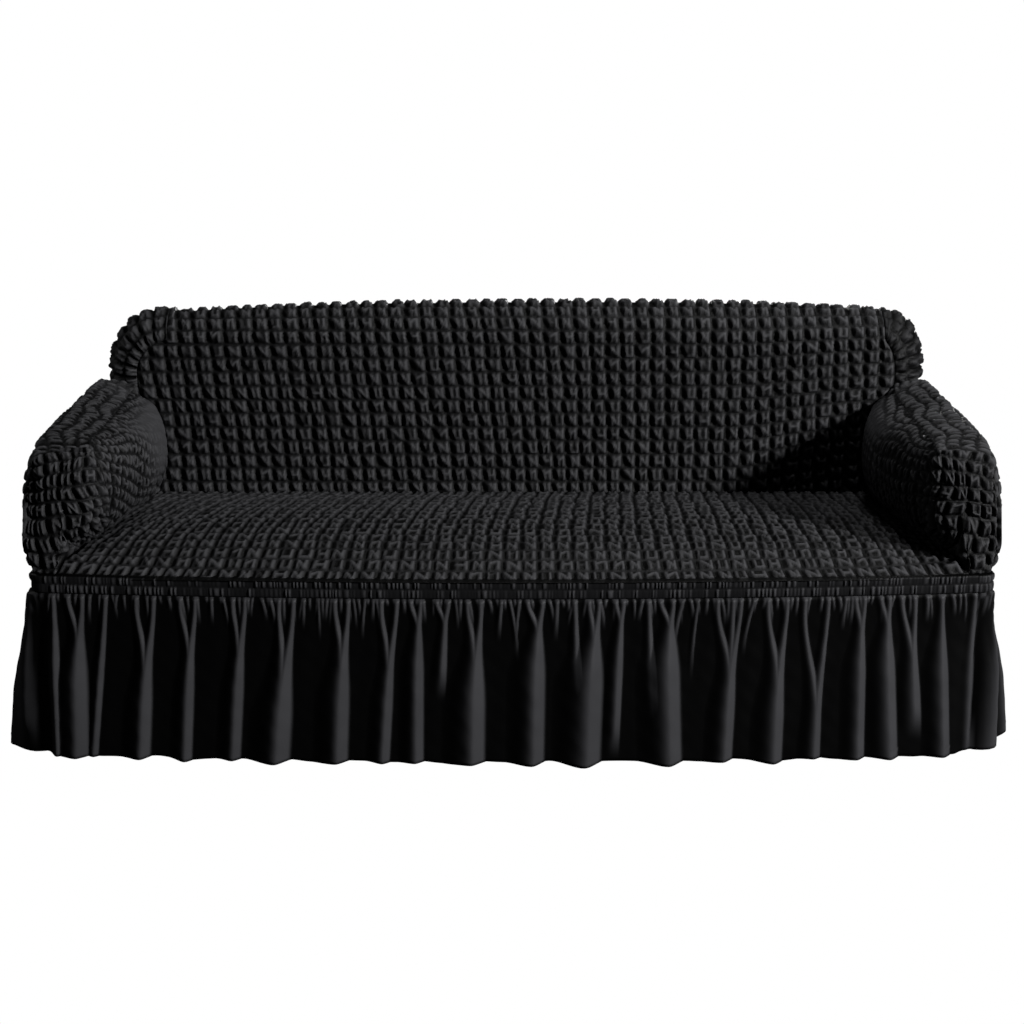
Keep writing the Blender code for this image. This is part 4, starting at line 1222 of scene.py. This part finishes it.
def unrolled_front(grid, side):
    """Places on an arm front as if its rounded edge were pressed flat into the plane of its middle."""
    middle_x, middle_z = ARM_FRONT_MIDDLE
    x = grid[..., 0] * SIDES[side] - middle_x
    z = grid[..., 2] - middle_z
    plane_y = ARM_FRONT_FOOT_Y + ARM_FRONT_LEAN * (grid[..., 2] - BAND_TOP_Z)
    reach = np.hypot(x, z) + 1e-6
    spread = 1 + np.maximum(grid[..., 1] - plane_y, 0) / reach
    return x * spread, z * spread


def dress_arm_front(side, core, material):
    """Rings from the rounded edge in to the middle, where they meet in one point."""
    grid, facing = core
    grid = refine(grid, *ARM_FRONT_COUNTS)
    x, z = unrolled_front(grid, side)
    turned = np.radians(FRONT_ROW_TILT)
    across = x * np.cos(turned) + z * np.sin(turned)
    up = z * np.cos(turned) - x * np.sin(turned)
    across, up = wandering("arm_front", x, z, across / FRONT_BUBBLE, up / FRONT_BUBBLE)
    height, painted_light = bubbles(SIDES[side] * across, up, **PUCKERS["arm_front"])
    _, inwards = runs(grid)
    reach, painted_seam_light = SEAM_FADE["arm_front"]
    fade = smoothstep(0.0, reach, inwards)
    normal = grid_normals(grid, facing)
    normal[-1] = normal[-2].mean(axis=0)
    normal[:, -1] = normal[:, 0]
    dressed = grid + normal * (FRONT_RELIEF * height * fade)[..., None]
    dressed[-1] = dressed[-2].mean(axis=0)
    rim = dressed[:1] - normal[:1] * TUCK
    dressed = np.concatenate([rim, dressed])[:, :-1]
    # Painted light of the arm front, scaled by its side and painted darker at its seam
    painted_light = ARM_FRONT_PAINTED_LIGHT[side] * painted_light * between(painted_seam_light, 1.0, fade)
    painted_light = np.pad(painted_light, ((1, 0), (0, 0)), mode="edge")[:, :-1]
    obj = sheet_object(f"arm_front_{side}_cloth", dressed, material, closed=True, flip=facing < 0,
                       painted_light=painted_light)
    declare(obj, f"arm_front_{side}")


# ---------------------------------------------------------------- heading band and skirt

def ring_grid(run, z, out):
    """Points round the sofa, out from the heading line."""
    place = plan_at(run) + plan_normal(run) * out[..., None]
    return points(place[..., 0], place[..., 1], z)


def dress_band(material):
    """Each channel is crossed by upright shirrs. Where the elastic pulls less they nearly fade."""
    front = round(2 * FRONT_HALF_RUN / SHIRR_PITCH)
    other = round((PLAN_LENGTH - 2 * FRONT_HALF_RUN) / SHIRR_PITCH)
    front_end = PLAN_LENGTH - FRONT_HALF_RUN
    run = np.concatenate([
        np.linspace(-FRONT_HALF_RUN, FRONT_HALF_RUN, front * BAND_FRONT_STEPS, endpoint=False),
        np.linspace(FRONT_HALF_RUN, front_end, other * BAND_OTHER_STEPS, endpoint=False)])[None, :]
    level = np.linspace(0, 1, BAND_ROWS)[:, None]
    rng = np.random.default_rng(29)
    out = np.full((BAND_ROWS, run.shape[1]), -BAND_INSET)
    out = out - BAND_TOP_TUCK * smoothstep(*BAND_TUCK_FROM, level)
    painted_light = np.full(out.shape, PAINTED_SHIRR_LIGHT)
    for low in BAND_CHANNELS:
        here = np.clip((level - low) * len(BAND_CHANNELS), 0, 1)
        inside = np.sin(np.pi * here) ** 0.5
        phase = run / SHIRR_PITCH + 0.45 * soft_noise(rng, run, 0.0, 0.03) + low
        ridge = 1 - np.abs(2 * (phase - np.floor(phase)) - 1) ** 1.6
        draw = rng.uniform(0.0, 1.0, SHIRR_DRAWS)[np.floor(phase).astype(int) % SHIRR_DRAWS]
        strength = smoothstep(0.15, 0.75, draw) * smoothstep(-1.1, 0.1, soft_noise(rng, run, 0.0, 0.07))
        out += inside * (BAND_CHANNEL_HEIGHT + SHIRR_HEIGHT * ridge * np.clip(strength, 0.08, 1))
        # Painted highlight on each shirr's ridge, painted shade between
        painted_light += inside * (ridge**1.5 * 1.2 * strength - PAINTED_SHIRR_LIGHT * (1 - ridge) * strength)
    both = np.ones_like(out)
    grid = ring_grid(run * both, between(BAND_LOW_Z, BAND_TOP_Z, level) * both, out)
    normal = points(*np.moveaxis(plan_normal(run * both), -1, 0), 0.0)
    # Painted shade on the band's top under the seat's edge
    painted_light = np.pad(painted_light * (1 - smoothstep(*BAND_PAINTED_SHADE_FROM, level)), rim_pad(True), mode="edge")
    obj = sheet_object("heading_band_cloth", tucked(grid, normal, True), material, closed=True,
                       painted_light=painted_light)
    declare(obj, "heading_band")


def all_folds():
    """Folds round the whole skirt, by run. The unseen sides and back are unevenly spaced by draw."""
    rng = np.random.default_rng(7)
    folds = [dict(zip(FOLD_COLUMNS, row)) for row in FRONT_FOLDS]
    side_start = FRONT_HALF_RUN + SIDE_FOLDS_FROM
    stretches = ((side_start, REAR_SEAM_RUN, SIDE_FOLD_PITCH),
                 (REAR_SEAM_RUN, PLAN_LENGTH - REAR_SEAM_RUN, BACK_FOLD_PITCH),
                 (PLAN_LENGTH - REAR_SEAM_RUN, PLAN_LENGTH - side_start, SIDE_FOLD_PITCH))
    for start, end, pitch in stretches:
        count = round((end - start) / pitch)
        for k in range(count):
            hem = between(start, end, (k + 0.5 + rng.uniform(-0.16, 0.16)) / count)
            top = hem + rng.uniform(-0.015, 0.015)
            spread = rng.uniform(0.010, 0.018)
            join = rng.uniform(0.18, 0.42)
            width = rng.uniform(0.026, 0.042)
            folds.append(dict(zip(FOLD_COLUMNS, (hem, (top - spread, top + spread), join, width, 1.0))))
    return folds


def fold_level(distance, width):
    """Section of a fold: it comes forward gently from the left, and falls back steeply on the right."""
    left = FOLD_LEFT_REACH * width
    share = np.where(distance < 0, -distance / left, distance / width)
    peak = np.sqrt(share**2 + FOLD_ROUNDING**2) - FOLD_ROUNDING
    level = np.clip(1 - peak / (np.sqrt(1 + FOLD_ROUNDING**2) - FOLD_ROUNDING), 0, 1)
    return np.where(distance < 0, level**1.5, level)


def fold_painted_light(distance, level):
    """Painted light of a fold: painted highlight on its crest and right flank, which face the key lamp, and
    painted shade on its left side where it turns into the valley.
    """
    return np.where(distance < 0, level**4, smoothstep(0, 0.35, level))


def wrapped(distance):
    """Distance round the ring, taken the short way."""
    return (distance + PLAN_LENGTH / 2) % PLAN_LENGTH - PLAN_LENGTH / 2


def side_sweep(run):
    """The corner folds that stand out beside the arms, and the pinch in front of each."""
    from_front = {"right": run - FRONT_HALF_RUN, "left": PLAN_LENGTH - FRONT_HALF_RUN - run}
    total = 0.0
    for side, distance in from_front.items():
        apart = (distance - SIDE_SWEEP_AT[side]) / SIDE_SWEEP_SPREAD[side]
        pinch = (distance - CORNER_PINCH_AT[side]) / CORNER_PINCH_SPREAD[side]
        total = total + SIDE_SWEEP[side] * np.exp(-apart**2) - CORNER_PINCH[side] * np.exp(-pinch**2)
    return total


def skirt_folds(run, share):
    """How far the folds and gathers stand out, and their share of painted light.

    Both are given for each place round the ring and each share of the drop."""
    rng = np.random.default_rng(31)
    out = np.zeros(np.broadcast(run, share).shape)
    painted_light = np.zeros_like(out)
    for fold in all_folds():
        middle_top = between(min(fold["tops"]), max(fold["tops"]), FOLD_MIDDLE)
        grown = smoothstep(0.3 * fold["join"], fold["join"] + FOLD_GROWTH, share)
        kept = 1.0
        if fold["reach"] < 1:
            kept = 1 - smoothstep(fold["reach"] - 0.20, fold["reach"] + 0.05, share)
        width = between(TOP_FOLD_WIDTH, fold["width"], grown)
        height = np.minimum(FLANK_SLOPE * width, FOLD_DEPTH) * kept
        trunk = between(middle_top, fold["hem_x"], share) - width / 2
        for top in fold["tops"]:
            apart = 1 - smoothstep(0.1 * fold["join"], 1.25 * fold["join"], share)
            centre = trunk + (top - middle_top) * apart
            distance = wrapped(run - centre)
            level = fold_level(distance, width)
            out = np.maximum(out, level * height)
            painted_light = np.maximum(painted_light, fold_painted_light(distance, level) * kept)
    gathers = [(place, reach, 1.0) for place, reach in SHORT_GATHERS]
    count = round(PLAN_LENGTH / GATHER_PITCH)
    for k in range(count):
        gathers.append(((k + rng.uniform(-0.4, 0.4)) * GATHER_PITCH, rng.uniform(0.04, 0.20), 0.8))
    for place, reach, strength in gathers:
        drift = rng.uniform(-0.12, 0.12)
        width = rng.uniform(*GATHER_WIDTH) * (1 + reach)
        kept = 1 - smoothstep(0.3 * reach, reach, share)
        distance = wrapped(run - place - drift * share * (1 - 0.5 * share / reach))
        level = fold_level(distance, width)
        out = np.maximum(out, level * width * GATHER_HEIGHT * strength * kept)
        painted_light = np.maximum(painted_light, PAINTED_GATHER_LIGHT * fold_painted_light(distance, level) * kept)
    return out, painted_light


def dress_skirt(material):
    """The gathered ring from its turned-up hem to a ledge that closes it under the band."""
    front = np.linspace(-FRONT_HALF_RUN, FRONT_HALF_RUN, FRONT_COLUMNS, endpoint=False)
    other = np.linspace(FRONT_HALF_RUN, PLAN_LENGTH - FRONT_HALF_RUN, OTHER_COLUMNS, endpoint=False)
    run = np.concatenate([front, other])[None, :]
    share = (np.linspace(0, 1, SKIRT_ROWS)[::-1] ** SKIRT_ROW_SPACING)[:, None]
    folds, painted_light = skirt_folds(run, share)
    rng = np.random.default_rng(37)
    wave = HEM_WAVE * soft_noise(rng, run, 0.0, 0.12)
    ripple = RIPPLE_HEIGHT * soft_noise(rng, run, share * 0.35, 0.05)
    under = 1 - smoothstep(0, TOP_TUCK_REACH, share)
    flare = SKIRT_FLARE * share**SKIRT_FLARE_POWER
    valley = VALLEY_DEPTH * smoothstep(0, VALLEY_FULL_AT, share)
    sweep = side_sweep(np.mod(run, PLAN_LENGTH)) * share**SWEEP_POWER
    out = (flare + folds * (1 - under) - TOP_TUCK * under - valley + sweep
           + ripple * smoothstep(0, 0.2, share))
    z = between(BAND_LOW_Z, HEM_Z, share) + wave * share
    grid = ring_grid(run + FOLD_LEAN * folds, z, out)
    inner_hem = grid[0] - points(*np.moveaxis(plan_normal(run[0]), -1, 0), 0.0) * HEM_THICKNESS
    turned = [inner_hem + np.array([0.0, 0.0, rise]) for rise in (HEM_TURN, HEM_FOLD)]
    ledge = ring_grid(run[0], np.full(run.shape[1], BAND_LOW_Z + LEDGE_RISE),
                      np.full(run.shape[1], -LEDGE_DEPTH))
    grid = np.concatenate([turned, grid, ledge[None]])
    # Painted shade in the valleys and on the ledge under the band, painted highlight on the folds' lit
    # flanks
    painted_light = between(PAINTED_VALLEY_LIGHT, 1.0, painted_light)
    painted_light = np.pad(np.pad(painted_light, ((2, 0), (0, 0)), mode="edge"), ((0, 1), (0, 0)))
    obj = sheet_object("skirt_cloth", grid, material, closed=True, painted_light=painted_light)
    declare(obj, "skirt")


# ---------------------------------------------------------------- room, lights and camera

def area_light(name, place, aim, size, watts):
    data = bpy.data.lights.new(name, "AREA")
    data.shape = "RECTANGLE"
    data.size, data.size_y = size
    data.energy = watts
    obj = bpy.data.objects.new(name, data)
    bpy.context.scene.collection.objects.link(obj)
    here = Vector(place)
    obj.location = here - Vector(MOUNT)
    obj.rotation_mode = "QUATERNION"
    obj.rotation_quaternion = (Vector(aim) - here).to_track_quat("-Z", "Y")


def studio():
    """White all round for the camera, as in a packshot, while the cloth is lit by the lamps alone."""
    bpy.context.scene.view_settings.view_transform = "Standard"
    world = bpy.data.worlds.new("studio")
    bpy.context.scene.world = world
    world.use_nodes = True
    tree = world.node_tree
    background = tree.nodes["Background"]
    path = add_node(tree, "ShaderNodeLightPath")
    strength = add_node(tree, "ShaderNodeMapRange", {"To Min": AMBIENT, "To Max": 1.0},
                        {"Value": path.outputs["Is Camera Ray"]})
    tree.links.new(strength.outputs["Result"], background.inputs["Strength"])
    background.inputs["Color"].default_value = (1.0, 1.0, 1.0, 1.0)

    mesh = bpy.data.meshes.new("floor")
    corners = [(x * FLOOR_HALF, y * FLOOR_HALF, 0) for x, y in ((-1, -1), (1, -1), (1, 1), (-1, 1))]
    mesh.from_pydata([tuple(np.array(c) - MOUNT) for c in corners], [], [(0, 1, 2, 3)])
    mesh.materials.append(white_floor())
    floor = bpy.data.objects.new("floor", mesh)
    bpy.context.scene.collection.objects.link(floor)
    for name, lamp in LAMPS.items():
        area_light(name, *lamp)


def white_floor():
    """Overlit paper sweep: it shows as plain white, and throws little light back on the cloth."""
    material = bpy.data.materials.new("Matt paper sweep, overlit")
    material.use_nodes = True
    tree = material.node_tree
    tree.nodes.clear()
    path = add_node(tree, "ShaderNodeLightPath")
    paper = add_node(tree, "ShaderNodeBsdfDiffuse", {"Color": linear("#3c3c3c")})
    glow = add_node(tree, "ShaderNodeEmission", {"Color": (1.0, 1.0, 1.0, 1.0), "Strength": 1.0})
    mix = add_node(tree, "ShaderNodeMixShader", links={0: path.outputs["Is Camera Ray"],
                                                       1: paper.outputs["BSDF"],
                                                       2: glow.outputs["Emission"]})
    add_node(tree, "ShaderNodeOutputMaterial", links={"Surface": mix.outputs["Shader"]})
    return material


def camera():
    data = bpy.data.cameras.new("camera")
    data.lens = LENS_MM
    data.sensor_width = SENSOR_MM
    obj = bpy.data.objects.new("camera", data)
    bpy.context.scene.collection.objects.link(obj)
    obj.location = np.array([0.0, CAMERA_Y, CAMERA_Z]) - MOUNT
    obj.rotation_euler = (np.pi / 2 - PITCH, 0.0, 0.0)
    bpy.context.scene.camera = obj


def mount_point():
    """Underside of the cloth at the middle of the top roll, where the sofa's back holds it."""
    crest = roll_section(0.0, BACK_TOP_Z, 0.0, -1.0, 0.0)
    return crest - np.array([0.0, 0.0, 0.0020])


MOUNT = mount_point()


def build():
    camera()
    studio()
    bubble_cloth = seersucker_jersey()
    skirt_cloth = plain_microfibre("Polyester microfibre, plain woven and dyed", 0.50)
    band_cloth = plain_microfibre("Polyester microfibre, shirred on elastic", 0.62)
    cores = core_sheets()
    dress_inside_back(cores["inside_back"], bubble_cloth)
    dress_outside_back(cores["outside_back"], bubble_cloth)
    dress_seat(cores["seat"], bubble_cloth)
    for side in SIDES:
        dress_back_end(side, cores[f"back_end_{side}"], bubble_cloth)
        dress_arm_inside(side, cores[f"arm_inside_{side}"], bubble_cloth)
        dress_arm_outside(side, cores[f"arm_outside_{side}"], bubble_cloth)
        dress_arm_front(side, cores[f"arm_front_{side}"], bubble_cloth)
    dress_band(band_cloth)
    dress_skirt(skirt_cloth)


build()
